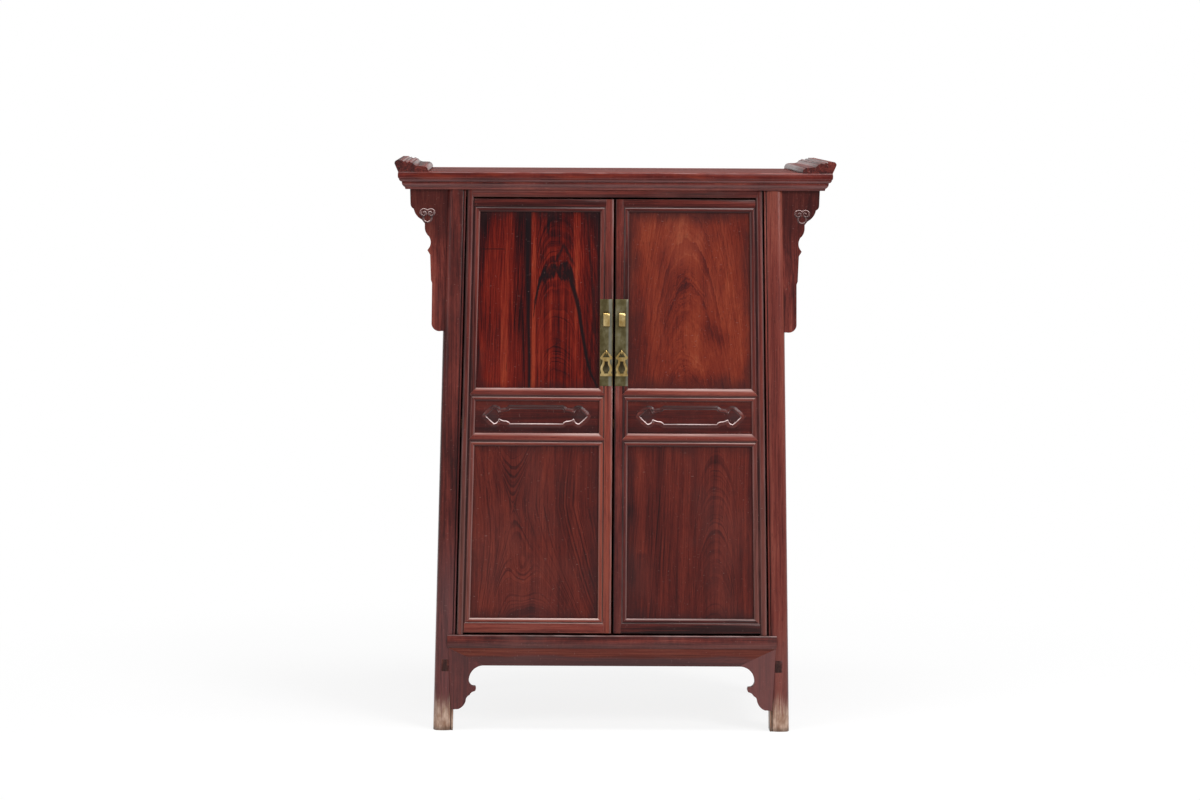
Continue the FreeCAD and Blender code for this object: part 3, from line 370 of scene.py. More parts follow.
def painted_sheen_and_shade(g, colour, streak, amount, worn_and_sheen):
    """Painted highlights where mouldings turn up or aside, in patches, and painted shade where they turn
    down.
    """
    aside = g.absolute(g.aside)
    # Painted highlight on slopes that turn up or aside
    upward = g.mul(g.fade(g.up, 0.28, 0.56), g.fade(g.up, *LEVEL, 1.0, 0.0))
    sideways = g.mul(g.fade(aside, 0.30, 0.62), g.fade(aside, *LEVEL, 0.45, 0.0))
    patchy = g.fade(streak, 0.36, 0.60, 0.35, 1.0)
    pale = g.mul(g.mul(g.most(upward, sideways), patchy), amount)
    colour = g.mix(pale, colour, worn_and_sheen)
    # Painted shade on faces that turn down
    under = g.fade(g.up, -0.50, -0.16, amount, 0.0)
    return g.mix(g.mul(under, 0.8), colour, UNDER_SHADE)


def groove_shade(g, colour, across, grooves):
    """Painted shade in a moulding's grooves, at places across it with half widths, and only near the front.
    """
    front = g.mul(g.fade(g.deep, 0.007, 0.010, 1.0, 0.0), g.patches((40.0, 40.0, 16.0), 0.30, 0.55, 0.65))
    for place, half in grooves:
        near = g.fade(g.gap(across, place), half * 0.45, half * 1.25, 1.0, 0.0)
        # Painted shade in each groove
        colour = g.mix(g.mul(g.mul(near, front), 0.85), colour, GROOVE_SHADE)
    return colour


def from_edge(g):
    """How far inward a point is from the hinge stile's outer edge, on either side."""
    return g.sub(g.sub(STILE_FOOT, g.mul(g.z, STILE_LEAN)), g.absolute(g.x))


def spared_in_dark_lines(g, low, line, darkest=0.5):
    """A share, cut down in the wood's dark growth lines."""
    return g.mul(low, g.fade(line, 0.25, 0.60, darkest, 1.0))


# The figure of each large panel

def growth(g, points, wander):
    """Growth lines that follow z + H(x), with H drawn through points from left to right."""
    steepest = max(height for _, height in points)
    return g.add(g.add(g.z, g.drawn(g.x, points, 0.0, steepest)), drift(g, wander))


def hourglass(g, x, z, slope, tilt, wander):
    """Growth lines pinched at one place: arches below it, bows above it, bends at both sides."""
    down = g.sub(z, g.z)
    across = g.sub(g.sub(g.x, x), g.mul(g.most(down, 0.0), tilt))
    along = g.mul(down, slope)
    form = g.sub(g.mul(across, across), g.mul(along, along))
    ring = g.mul(g.math("SIGN", form), g.math("SQRT", g.add(g.absolute(form), 0.000001)))
    return g.add(ring, drift(g, wander))


def drift(g, wander):
    """A slow wander of the growth lines."""
    return g.swing(g.noise(g.place, (26.0, 26.0, 9.0), 3.0, 0.55), wander)


def around(g, x, z, width, length, sideways=None, fall=1.0):
    """1 at a place on a panel, falling off smoothly around it."""
    across = g.mul(g.sub(g.x if sideways is None else sideways, x), 1.0 / width)
    along = g.mul(g.sub(g.z, z), 1.0 / length)
    return g.math("EXPONENT", g.mul(g.add(g.mul(across, across), g.mul(along, along)), -fall))


def spots(g, rows):
    """The sum of soft spots on a panel, each an x, a z, a width, a length and a share."""
    total = 0.0
    for x, z, width, length, share in rows:
        total = g.add(total, g.mul(around(g, x, z, width, length), share))
    return total


def lines_on(g, ring, value, per_metre, depth, seed, broad):
    """Darkens a value along thin growth lines that follow the rings, some strong and some hardly there."""
    phase = g.add(g.mul(ring, per_metre), seed)
    thin = g.fade(g.gap(g.noise_of(phase, 1.0), 0.5), 0.0, 0.085, 1.0, 0.0)
    strength = g.fade(g.noise_of(g.mul(phase, 0.31), 1.0), 0.36, 0.62, 0.15, 1.0)
    patchy = g.patches((30.0, 30.0, 13.0), 0.36, 0.62, 0.2, 1.0, 2.0, 0.5)
    band = g.swing(g.noise_of(g.mul(phase, 0.55), 2.0), broad * 2)
    return g.sub(g.add(value, band), g.mul(g.mul(g.mul(thin, strength), patchy), depth))


def mottled(g, value, amount, seed):
    """Clouds of lighter and darker wood, drawn out along the grain."""
    clouds = g.noise(g.place, (24.0, 24.0, 11.0), 3.0, 0.55, shift=seed)
    curls = g.noise(g.place, (210.0, 210.0, 75.0), 3.0, 0.6, 0.7, seed)
    return g.add(g.add(value, g.swing(clouds, amount * 2)), g.swing(curls, amount))


def calmer(g, value, share):
    """The same figure with less contrast."""
    return g.add(g.swing(value, share), 0.5)


def stroke(g, line, points, widths, ragged=0.003, soft=0.35):
    """How much of a stroke up the panel covers a point: drawn through (height, place), tapering."""
    room = 0.01
    end = 0.007
    low = points[0][0]
    high = points[-1][0]
    places = [place for _, place in points]
    middle = g.drawn(g.z, points, min(places) - room, max(places) + room)
    off = g.gap(g.add(g.x, g.swing(line, ragged)), middle)
    off = g.math("DIVIDE", off, g.fade(g.z, low, high, *widths))
    return g.mul(g.fade(off, soft, 1.35 - soft, 1.0, 0.0), g.within(g.z, low, low + end, high - end, high))


def cap(g, top, bottom, low, high):
    """A ragged patch between two curves drawn from left to right, torn along the grain, with soft edges."""
    end = 0.003
    left = top[0][0]
    right = top[-1][0]
    torn = g.sub(g.noise(g.place, (520.0, 520.0, 60.0), 3.0, 0.65), 0.5)
    fine = g.sub(g.noise(g.place, (900.0, 900.0, 160.0), 2.0, 0.6), 0.5)
    above = g.add(g.sub(g.z, g.drawn(g.x, bottom, low, high)), g.add(g.mul(torn, 0.022), g.mul(fine, 0.006)))
    below = g.add(g.sub(g.drawn(g.x, top, low, high), g.z), g.add(g.mul(torn, 0.008), g.mul(fine, 0.006)))
    inside = g.mul(g.fade(above, -0.0015, 0.0030), g.fade(below, -0.0015, 0.0034))
    inside = g.mul(inside, g.patches((260.0, 260.0, 90.0), 0.34, 0.56, 0.62))
    return g.mul(inside, g.within(g.x, left, left + end, right - end, right))


def rim_shade(g, colour, panel, amount, reach=0.018):
    """Darkens a panel towards the frame around it: painted shade and dirt where it meets the frame."""
    left, right, low, high = panel
    across = g.least(g.sub(g.x, left), g.sub(right, g.x))
    up = g.least(g.sub(g.z, low), g.sub(high, g.z))
    cloud = g.swing(g.noise(g.place, (34.0, 34.0, 20.0), 3.0), 0.040)
    # Painted shade and dirt towards the frame
    dark = g.fade(g.add(g.least(across, up), cloud), -0.004, reach, amount, 0.0)
    return g.mix(dark, colour, RIM_SHADE_AND_DIRT)


def framed(panel, amount, reach=0.018):
    """A panel's finish with only the painted shade and dirt along its frame."""
    return lambda g, colour, line: rim_shade(g, colour, panel, amount, reach)


def upper_left_figure(g, value, line):
    """Narrow arches beside straight threads, with a glow along the left edge."""
    ring = growth(
        g,
        [(-0.200, 1.24), (-0.170, 0.86), (-0.140, 0.47), (-0.120, 0.20), (-0.1115, 0.081), (-0.105, 0.034),
         (-0.094, 0.006), (-0.078, 0.0), (-0.066, 0.004), (-0.058, 0.018), (-0.050, 0.066),
         (-0.0415, 0.114), (-0.0335, 0.141), (-0.0246, 0.169), (-0.014, 0.21)],
        0.030,
    )
    depth = g.fade(g.x, -0.064, -0.040, 0.11, 0.035)
    value = mottled(g, lines_on(g, ring, value, 88.0, depth, 3.1, 0.035), 0.06, 4.0)
    threads = g.patches((1050.0, 1050.0, 7.0), 0.50, 0.66, detail=2.0)
    value = g.sub(value, g.mul(threads, 0.055))
    glow = stroke(g, line, [(0.47, -0.172), (0.60, -0.168), (0.75, -0.160)], (0.030, 0.030), 0.02)
    beside = stroke(g, line, [(0.47, -0.1140), (0.60, -0.1130), (0.75, -0.1145)], (0.0042, 0.0042), 0.002)
    value = g.add(g.add(value, g.mul(glow, 0.075)), g.mul(beside, 0.12))
    head = g.fade(g.z, 0.66, 0.735)
    edge = g.fade(g.x, -0.190, -0.160, 0.05, 0.0)
    return g.sub(g.sub(value, g.mul(head, 0.055)), edge)


def upper_left_extra(g, colour, line):
    """Black figure: a patch of two lobes over a thin and a thick leg, and streaks on both sides."""
    patch = cap(
        g,
        [(-0.1140, 0.6100), (-0.1100, 0.6210), (-0.1072, 0.6384), (-0.1030, 0.6493), (-0.0975, 0.6588),
         (-0.0905, 0.6624), (-0.0835, 0.6635), (-0.0788, 0.6606), (-0.0752, 0.6643), (-0.0696, 0.6667),
         (-0.0640, 0.6648), (-0.0598, 0.6575), (-0.0570, 0.6466), (-0.0530, 0.6300)],
        [(-0.1140, 0.6050), (-0.1100, 0.6120), (-0.1058, 0.6335), (-0.1002, 0.6385), (-0.0919, 0.6390),
         (-0.0849, 0.6433), (-0.0816, 0.6490), (-0.0779, 0.6417), (-0.0724, 0.6374), (-0.0654, 0.6364),
         (-0.0612, 0.6380), (-0.0560, 0.6276), (-0.0530, 0.6200)],
        0.600, 0.670,
    )
    thin_leg = stroke(
        g, line,
        [(0.585, -0.1138), (0.593, -0.1128), (0.621, -0.1087), (0.641, -0.1032), (0.655, -0.097)],
        (0.0008, 0.0032), 0.0015,
    )
    thick_leg = stroke(
        g, line,
        [(0.484, -0.0205), (0.494, -0.0253), (0.508, -0.0320), (0.528, -0.0378), (0.554, -0.0427),
         (0.574, -0.0460), (0.600, -0.0501), (0.620, -0.0552), (0.637, -0.0604), (0.660, -0.066)],
        (0.0024, 0.0050), 0.0025,
    )
    ragged = g.swing(line, 0.016)
    chevron = g.gap(g.add(g.add(g.z, ragged), g.mul(g.gap(g.x, -0.0712), 1.9)), 0.6885)
    chevron = g.mul(g.fade(chevron, 0.002, 0.0060, 0.80, 0.0), g.fade(g.z, 0.655, 0.667))
    main = stroke(
        g, line,
        [(0.470, -0.1189), (0.527, -0.1189), (0.569, -0.1197), (0.611, -0.1209), (0.653, -0.1223),
         (0.702, -0.1220), (0.750, -0.1206)],
        (0.0032, 0.0062), 0.0050, 0.10,
    )
    second = stroke(
        g, line,
        [(0.560, -0.0272), (0.575, -0.0278), (0.605, -0.0290), (0.645, -0.0315), (0.675, -0.0345),
         (0.706, -0.0368), (0.750, -0.0392)],
        (0.0030, 0.0026), 0.0030,
    )
    third = stroke(g, line, [(0.695, -0.0226), (0.720, -0.0227), (0.750, -0.0228)], (0.0016, 0.0020), 0.0020)
    spot = stroke(g, line, [(0.700, -0.0945), (0.715, -0.0930), (0.750, -0.0905)], (0.0026, 0.0048), 0.0060)
    smudge = g.mul(around(g, -0.1005, 0.6703, 0.0030, 0.0060), 0.55)
    bow = g.gap(g.add(g.z, g.swing(line, 0.004)), g.add(0.6018, g.mul(g.x, 0.65)))
    bow = g.mul(g.fade(bow, 0.0002, 0.0014, 0.6, 0.0), g.within(g.x, -0.100, -0.094, -0.080, -0.073))
    dark = g.most(
        patch, main, thin_leg, thick_leg, chevron, smudge, bow,
        g.mul(spot, 0.85), g.mul(second, 0.72), g.mul(third, 0.6),
    )
    colour = g.mix(g.mul(dark, 0.95), colour, BLACK_FIGURE)
    crack = g.fade(g.gap(g.add(g.z, g.swing(line, 0.002)), 0.6827), 0.0002, 0.0010, 1.0, 0.0)
    crack = g.mul(crack, g.within(g.x, -0.190, -0.184, -0.158, -0.151))
    colour = g.mix(g.mul(crack, 0.85), colour, CRACK)
    return rim_shade(g, colour, UPPER_LEFT, 0.60, 0.014)


def upper_right_figure(g, value, line):
    """Nested curly arches, with a small dark eye and smoky clouds."""
    ring = growth(
        g,
        [(0.014, 0.46), (0.040, 0.235), (0.060, 0.104), (0.074, 0.044), (0.085, 0.014), (0.094, 0.002),
         (0.100, 0.0), (0.110, 0.004), (0.124, 0.024), (0.140, 0.072), (0.158, 0.160), (0.178, 0.29),
         (0.200, 0.45)],
        0.034,
    )
    curly = g.noise(g.place, (120.0, 120.0, 62.0), 3.0, 0.55, 0.8)
    ring = g.add(ring, g.swing(curly, 0.022))
    value = lines_on(g, ring, g.add(calmer(g, value, 0.48), 0.026), 300.0, 0.10, 3.4, 0.050)
    value = mottled(g, lines_on(g, ring, value, 120.0, 0.08, 12.6, 0.060), 0.10, 9.0)
    light = spots(g, [
        (0.090, 0.700, 0.034, 0.038, 0.09), (0.062, 0.585, 0.014, 0.075, 0.06),
        (0.152, 0.580, 0.026, 0.075, 0.05), (0.100, 0.560, 0.020, 0.030, 0.05),
    ])
    dark = spots(g, [
        (0.0975, 0.636, 0.0075, 0.017, 0.09), (0.036, 0.560, 0.020, 0.040, 0.08),
        (0.136, 0.572, 0.013, 0.012, 0.09), (0.149, 0.558, 0.015, 0.012, 0.10),
        (0.178, 0.705, 0.022, 0.040, 0.06), (0.112, 0.500, 0.034, 0.009, 0.08),
    ])
    return g.sub(g.add(value, light), dark)


def lower_left_figure(g, value, line):
    """An hourglass of growth lines over a swirl."""
    ring = hourglass(g, -0.1415, 0.3200, 0.38, 0.15, 0.012)
    ring = g.add(ring, g.mul(around(g, -0.1274, 0.2290, 0.020, 0.034), 0.020))
    value = lines_on(g, ring, calmer(g, value, 0.72), 210.0, 0.15, 5.7, 0.06)
    value = mottled(g, value, 0.065, 14.0)
    swirl = g.mul(around(g, -0.1274, 0.2290, 0.030, 0.050), 0.04)
    shade = g.mul(around(g, -0.1480, 0.3600, 0.014, 0.036), 0.06)
    return g.sub(g.add(value, swirl), shade)


def lower_right_figure(g, value, line):
    """Tall arches beside two lighter stripes, with a knot at the inner edge."""
    ring = growth(
        g,
        [(0.014, 1.55), (0.050, 1.08), (0.080, 0.69), (0.098, 0.44), (0.105, 0.30), (0.1125, 0.150),
         (0.120, 0.058), (0.130, 0.016), (0.1454, 0.0), (0.161, 0.016), (0.172, 0.058), (0.182, 0.150),
         (0.190, 0.30), (0.208, 0.62)],
        0.018,
    )
    ring = g.add(ring, g.mul(around(g, 0.0215, 0.3130, 0.012, 0.020), 0.060))
    value = lines_on(g, ring, calmer(g, value, 0.80), 78.0, 0.12, 1.9, 0.045)
    value = mottled(g, value, 0.055, 19.0)
    stripe = stroke(g, line, [(0.25, 0.0420), (0.33, 0.0400), (0.42, 0.0390)], (0.010, 0.012), 0.008)
    second = stroke(g, line, [(0.15, 0.080), (0.30, 0.079), (0.42, 0.0775)], (0.008, 0.008), 0.006)
    value = g.add(value, g.add(g.mul(stripe, 0.09), g.mul(second, 0.04)))
    knot = g.mul(around(g, 0.0205, 0.3130, 0.010, 0.012), 0.14)
    return g.sub(g.sub(value, knot), g.mul(g.fade(g.x, 0.12, 0.20), 0.02))


# Wear, tone, painted highlights and painted shade of each kind of piece

def leg_extra(g, colour, line):
    """Feet worn through to pale wood in streaks that fade upward, dirtier at the very bottom, and painted
    shade in the leg's grooves beside the door.
    """
    worn = g.fade(g.add(g.z, g.swing(line, 0.060)), 0.018, 0.054, 1.0, 0.0)
    blotch = g.noise(g.place, (90.0, 90.0, 45.0), 3.0, 0.6)
    worn_and_sheen = g.mix(g.fade(blotch, 0.32, 0.68), FOOT_DARK, FOOT_LIGHT)
    worn_and_sheen = g.mix(g.fade(line, 0.54, 0.68, 0.0, 0.40), worn_and_sheen, FOOT_LINES)
    colour = g.mix(g.mul(worn, 0.92), colour, worn_and_sheen)
    dirt = g.fade(g.add(g.z, g.swing(blotch, 0.010)), 0.001, 0.008, 0.6, 0.0)
    colour = g.mix(dirt, colour, FOOT_DIRT)
    # Painted shade in the leg's grooves beside the door
    return groove_shade(g, colour, from_edge(g), [(-0.0051, 0.0010), (-0.0016, 0.0008)])


def hazy_leg(g, colour, line):
    """A leg that goes greyer and lighter below, down to its worn foot."""
    low = spared_in_dark_lines(g, g.fade(g.z, 0.17, 0.32, 0.25, 0.0), line, 0.7)
    return leg_extra(g, g.mix(low, colour, (0.250, 0.135, 0.138)), line)


def grey_leg(g, colour, line):
    """A leg that goes greyer and duller just above its worn foot."""
    low = spared_in_dark_lines(g, g.fade(g.z, 0.09, 0.17, 0.26, 0.0), line, 0.7)
    return leg_extra(g, g.mix(low, colour, (0.065, 0.060, 0.064)), line)


def tenon_extra(g, colour, line):
    """The ends of the through tenons: dark end grain with its rings, fainter towards their sides."""
    start, full = TENON_END
    end = g.most(g.fade(g.y, -full, -start, 1.0, 0.0), g.fade(g.y, start, full))
    rings = g.noise(g.place, (500.0, 60.0, 190.0), 3.0, 0.6, 0.4)
    grain = g.ramp(rings, [(0.35, (0.012, 0.007, 0.007)), (0.65, (0.052, 0.024, 0.020))])
    middle = g.fade(g.gap(g.absolute(g.x), TENON_X), 0.0018, 0.0050, 0.88, 0.40)
    return g.mix(g.mul(end, middle), colour, grain)


def apron_extra(g, colour, line):
    """A lighter band of sapwood runs along the apron's upper edge, with a wavy lower border."""
    wave = g.swing(g.noise(g.place, (9.0, 9.0, 30.0), 3.0, 0.55), 0.016)
    band = g.fade(g.add(g.z, wave), 0.1035, 0.1085)
    sapwood = g.noise(g.place, (9.0, 200.0, 520.0), 3.0, 0.6, 0.3)
    sapwood = g.ramp(sapwood, [
        (0.30, (0.070, 0.016, 0.012)),
        (0.50, (0.120, 0.028, 0.018)),
        (0.70, (0.200, 0.056, 0.034)),
    ])
    colour = g.mix(g.mul(g.sub(1.0, band), 0.60), colour, (0.078, 0.040, 0.040))
    return g.mix(g.mul(band, 0.65), colour, sapwood)


def hinge_side(g, colour, line):
    """A hinge stile: dim above, greyer and lighter towards its foot, with painted shade beside its round
    edge.
    """
    low = spared_in_dark_lines(g, g.fade(g.z, 0.20, 0.60, 0.42, 0.0), line)
    colour = g.mix(low, colour, (0.260, 0.108, 0.088))
    return groove_shade(g, colour, from_edge(g), [(0.0100, 0.0019), (0.0002, 0.0012)])


def warm_below(g, colour, line):
    """A stile whose wood turns lighter and more orange towards its foot, with a painted highlight along
    its outer edge and painted shade in its groove.
    """
    low = g.fade(g.z, 0.30, 0.62, 0.55, 0.0)
    colour = g.mix(g.mul(low, g.fade(line, 0.30, 0.62)), colour, (0.290, 0.062, 0.036))
    across = g.sub(g.absolute(g.x), MEETING_EDGE)
    # Painted highlight along the stile's outer edge, in patches
    sheen_patches = g.patches((300.0, 300.0, 20.0), 0.36, 0.62, 0.25)
    edge = g.mul(g.within(across, 0.0, 0.0006, 0.0016, 0.0030), sheen_patches)
    colour = g.mix(g.mul(edge, 0.30), colour, MEETING_HIGHLIGHT)
    return groove_shade(g, colour, across, [(0.0123, 0.0011)])


def cool_below(g, colour, line):
    """A stile that darkens towards its foot, with painted shade in its grooves."""
    colour = g.mix(g.fade(g.z, 0.25, 0.55, 0.45, 0.0), colour, (0.050, 0.018, 0.020))
    across = g.sub(g.absolute(g.x), MEETING_EDGE)
    return groove_shade(g, colour, across, [(0.0123, 0.0011), (0.0004, 0.0010)])


def rail_grooves(g, colour, line):
    """Painted shade: dark lines in the grooves of the doors' rails."""
    return groove_shade(g, colour, g.z, [(height, RAIL_GROOVE_HALF) for height in RAIL_GROOVES])


def grey_sheen_below(g, colour, line):
    """A painted grey sheen on the lower part of the rail under the doors."""
    # Painted grey sheen on the rail's lower part
    return g.mix(spared_in_dark_lines(g, g.fade(g.z, 0.121, 0.131, 0.60, 0.0), line), colour, (0.105, 0.058, 0.056))


def grey_reflection_under(g, colour, line):
    """A moulding given a painted grey reflection where it turns down."""
    # Painted grey reflection on the faces that turn down
    return g.mix(spared_in_dark_lines(g, g.fade(g.up, -0.55, -0.06, 0.62, 0.0), line, 0.6), colour, (0.240, 0.128, 0.124))


def flowing(g, value, line):
    """Wavy grain with soft clouds."""
    return mottled(g, value, 0.12, 27.0)


def waist_extra(g, colour, line):
    """Darker around the cartouche's pointed ends, and painted shade and dirt towards the frame."""
    ends = g.most(*[
        around(g, side * CARTOUCHE_X + end * CARTOUCHE_POINT, CARTOUCHE_Z, 0.010, 0.011)
        for side in (-1, 1) for end in (-1, 1)
    ])
    colour = g.mix(g.mul(ends, 0.55), colour, CARTOUCHE_DARK)
    return rim_shade(g, colour, WAISTS, 0.35, 0.008)


def dusky(g, colour, line):
    """A greyish bloom, lighter on the right-hand spandrel."""
    right = g.fade(g.x, -0.1, 0.1)
    colour = g.mix(0.38, colour, (0.108, 0.060, 0.061))
    return g.mix(g.mul(right, 0.28), colour, (0.230, 0.108, 0.102))


def painted_edge_highlight(g, colour, height, reach, amount):
    """A painted highlight along an upper front edge, in patches."""
    sheen_patches = g.patches((28.0, 400.0, 400.0), 0.40, 0.62, 0.25)
    edge = g.mul(g.fade(g.z, height - reach, height - reach * 0.4), g.fade(g.up, *LEVEL, 1.0, 0.0))
    # Painted highlight along the edge
    return g.mix(g.mul(g.mul(edge, sheen_patches), amount), colour, EDGE_HIGHLIGHT)


def rail_sheen(g, colour, line):
    """A painted grey sheen below, and a painted highlight along the upper front edge."""
    return painted_edge_highlight(g, grey_sheen_below(g, colour, line), RAIL_TOP, 0.0018, 0.6)


def top_band_and_sheen(g, colour, line):
    """The top's moulding: a redder band with orange clouds, a painted grey reflection on the steps under it
    and a painted highlight on its upper edge.
    """
    cloud = g.patches((14.0, 30.0, 90.0), 0.48, 0.68)
    band = g.fade(g.z, TOP - 0.0110, TOP - 0.0090)
    colour = g.mix(g.mul(band, 0.40), colour, (0.130, 0.014, 0.010))
    colour = g.mix(g.mul(g.mul(band, cloud), 0.60), colour, (0.240, 0.036, 0.018))
    return painted_edge_highlight(g, grey_reflection_under(g, colour, line), TOP, 0.0012, 0.45)


def shade_under_top(g, colour, line):
    """A spandrel darkened by painted shade under the top, and redder towards its foot."""
    # Painted shade under the top
    high = g.fade(g.z, 0.66, 0.73, 0.0, 0.62)
    return g.mix(high, colour, (0.028, 0.003, 0.003))


# Brass

def brass(name, deep, light, shine, specks, worn, edge=0.0):
    """Old brass: tarnish in clouds, brighter where hands have worn it, with fine polishing lines, and on face
    plates painted highlights and a painted shadow.
    """
    g = Graph(name)
    cloud = g.noise(g.place, (90.0, 90.0, 60.0), 4.0, 0.6)
    colour = g.mix(g.fade(cloud, 0.36, 0.66), deep, light)
    speck = g.patches((700.0, 700.0, 700.0), 0.62, 0.72, detail=2.0)
    colour = g.mix(g.mul(speck, specks), colour, (0.10, 0.085, 0.055))
    colour = g.mix(g.mul(g.fade(cloud, 0.55, 0.80), 0.35), colour, worn)
    if edge:
        colour = plate_highlight_and_shadow(g, colour, edge)
    lines = g.noise(g.place, (900.0, 900.0, 40.0), 2.0, 0.6)
    roughness = g.add(g.add(shine, g.mul(cloud, 0.16)), g.mul(speck, 0.15))
    g.bump(g.add(lines, g.mul(speck, -0.8)), 0.00008, 0.4)
    return g.finish(colour, roughness, Metallic=1.0)


def plate_highlight_and_shadow(g, colour, edge):
    """Painted highlights along both sides of the left face plate and the right one's outer side, and a
    painted shadow behind the pulls.
    """
    # Painted highlights along the plates' sides
    near = g.within(g.x, -0.0085, -0.0065, -0.0040, -0.0022)
    near = g.most(near, g.fade(g.x, 0.0160, 0.0180, 0.0, 0.7))
    colour = g.mix(g.mul(near, edge), colour, (0.26, 0.27, 0.25))
    # Painted shadow behind the pull
    behind = around(g, PLATE_X, PULL_Z, 0.0058, 0.0125, g.absolute(g.x), 1.3)
    return g.mix(g.mul(behind, 0.85), colour, (0.022, 0.015, 0.009))


# Materials of the nodes

RED = wood(
    "figured_left", "Z", 1.3, RED_TONES, upper_left_figure, upper_left_extra,
    sheen=0.30, contrast=1.06, gloss=0.06, haze=0.02,
)
CURLY = wood(
    "curly_right", "Z", 2.9, ORANGE_TONES, upper_right_figure, framed(UPPER_RIGHT, 0.66, 0.024),
    contrast=0.84, curl=0.020, haze=0.05,
)
ARCHED = wood(
    "arched_left", "Z", 4.6, BROWN_TONES, lower_left_figure, framed(LOWER_LEFT, 0.55),
    sheen=0.33, contrast=0.76, curl=0.010, lift=0.03, haze=0.06,
)
OTHER_ARCHED = wood(
    "arched_right", "Z", 5.7, BROWN_TONES, lower_right_figure, framed(LOWER_RIGHT, 0.60),
    sheen=0.33, contrast=0.74, curl=0.008, lift=-0.01, haze=0.06,
)
LEG = wood("leg_wood", "Z", 17.9, FRAME_TONES, flowing, hazy_leg, contrast=0.70, curl=0.006, lift=-0.01)
BRIGHTER_LEG = wood("brighter_leg_wood", "Z", 18.4, FRAME_TONES, None, grey_leg, contrast=0.80, lift=0.16)
UPRIGHT = wood("upright_wood", "Z", 7.3, FRAME_TONES, flowing, dusky, contrast=0.7)
HANGING = wood("hanging_wood", "Z", 8.2, FRAME_TONES, flowing, shade_under_top, contrast=0.9, curl=0.012, lift=0.06)
# For mouldings, lip and the colour after it set the painted highlights and the painted shade
HINGE_STILE = wood(
    "hinge_stile_wood", "Z", 9.1, FRAME_TONES, None, hinge_side,
    lift=0.01, gloss=0.07, haze=0.01, lip=0.60, worn_and_sheen=STILE_SHEEN,
)
OTHER_HINGE_STILE = wood(
    "other_hinge_stile_wood", "Z", 10.6, FRAME_TONES, None, hinge_side,
    contrast=0.8, lift=-0.01, gloss=0.07, haze=0.01, lip=0.60, worn_and_sheen=STILE_SHEEN,
)
WARM_STILE = wood("warm_stile_wood", "Z", 12.2, FRAME_TONES, None, warm_below, lift=0.13, lip=0.60)
DARK_STILE = wood(
    "dark_stile_wood", "Z", 16.3, FRAME_TONES, flowing, cool_below,
    contrast=0.9, lift=-0.015, gloss=0.07, haze=0.01, lip=0.60, worn_and_sheen=STILE_SHEEN,
)
CROSSWISE = wood("crosswise_wood", "X", 11.9, FRAME_TONES, haze=0.14, lip=0.5)
TOP_EDGE = wood(
    "top_edge_wood", "X", 12.9, FRAME_TONES, flowing, top_band_and_sheen,
    contrast=1.1, lift=0.07, gloss=0.06, haze=0.01, dust=0.5,
)
TOP_END = wood("top_end_wood", "Y", 16.9, FRAME_TONES, None, grey_reflection_under, lift=-0.06, dust=0.3)
LOWER_RAIL = wood(
    "lower_rail_wood", "X", 13.6, FRAME_TONES, flowing, rail_sheen,
    contrast=0.9, lift=-0.01, haze=0.14, lip=0.5,
)
DARK_RAIL = wood(
    "dark_rail_wood", "X", 13.3, FRAME_TONES, None, rail_grooves,
    lift=-0.07, gloss=0.06, haze=0.01, lip=0.8, worn_and_sheen=(0.42, 0.31, 0.30),
)
MIDDLE_RAIL = wood(
    "middle_rail_wood", "X", 14.1, FRAME_TONES, None, rail_grooves,
    contrast=0.8, lift=0.16, lip=0.90, worn_and_sheen=(0.50, 0.33, 0.30),
)
BOTTOM_RAIL = wood(
    "bottom_rail_wood", "X", 14.9, FRAME_TONES, None, rail_grooves,
    lift=0.15, lip=0.9, worn_and_sheen=(0.58, 0.42, 0.38),
)
DIM_BOTTOM_RAIL = wood(
    "dim_bottom_rail_wood", "X", 15.2, FRAME_TONES, None, rail_grooves,
    lift=-0.09, lip=0.7, worn_and_sheen=(0.46, 0.31, 0.29),
)
SIDEWAYS = wood("sideways_wood", "Y", 15.7, FRAME_TONES, extra=tenon_extra, lip=0.3)
APRON = wood("apron_wood", "X", 19.3, FRAME_TONES, extra=apron_extra, lift=-0.04, haze=0.12)
SIDE_PANEL = wood("side_panel_wood", "Z", 21.7, BROWN_TONES, curl=0.012, lift=0.02)
TOP_PANEL = wood("top_panel_wood", "X", 23.3, BROWN_TONES, curl=0.012, dust=0.5)
WAIST = wood(
    "waist_wood", "X", 25.1, BROWN_TONES, flowing, waist_extra, contrast=0.62, lift=-0.035, haze=0.05
)
# The carved lines get strong painted highlights where they turn up and painted shade where they turn down
CARVED = wood(
    "carved_wood", "X", 26.3, BROWN_TONES,
    sheen=0.24, lift=-0.04, gloss=0.20, lip=1.0, worn_and_sheen=(0.84, 0.66, 0.64),
)
PLAIN_ACROSS = wood("plain_across", "X", 27.7, PLAIN_TONES, sheen=0.55, curl=0.010)
PLAIN_UP = wood("plain_up", "Z", 29.9, PLAIN_TONES, sheen=0.55, curl=0.014)
PLAIN_DEEP = wood("plain_deep", "Y", 31.3, PLAIN_TONES, sheen=0.55)
# Its last number sets the painted highlights on the plates' sides
PLATE = brass(
    "plate_brass", (0.070, 0.056, 0.024), (0.128, 0.108, 0.056), 0.30, 0.5, (0.26, 0.25, 0.21), 0.4
)
BRIGHT = brass(
    "bright_brass", (0.250, 0.162, 0.054), (0.450, 0.340, 0.155), 0.22, 0.35, (0.84, 0.72, 0.44)
)


def both(name):
    """A piece's names on the left and on the right."""
    return [f"left_{name}", f"right_{name}"]


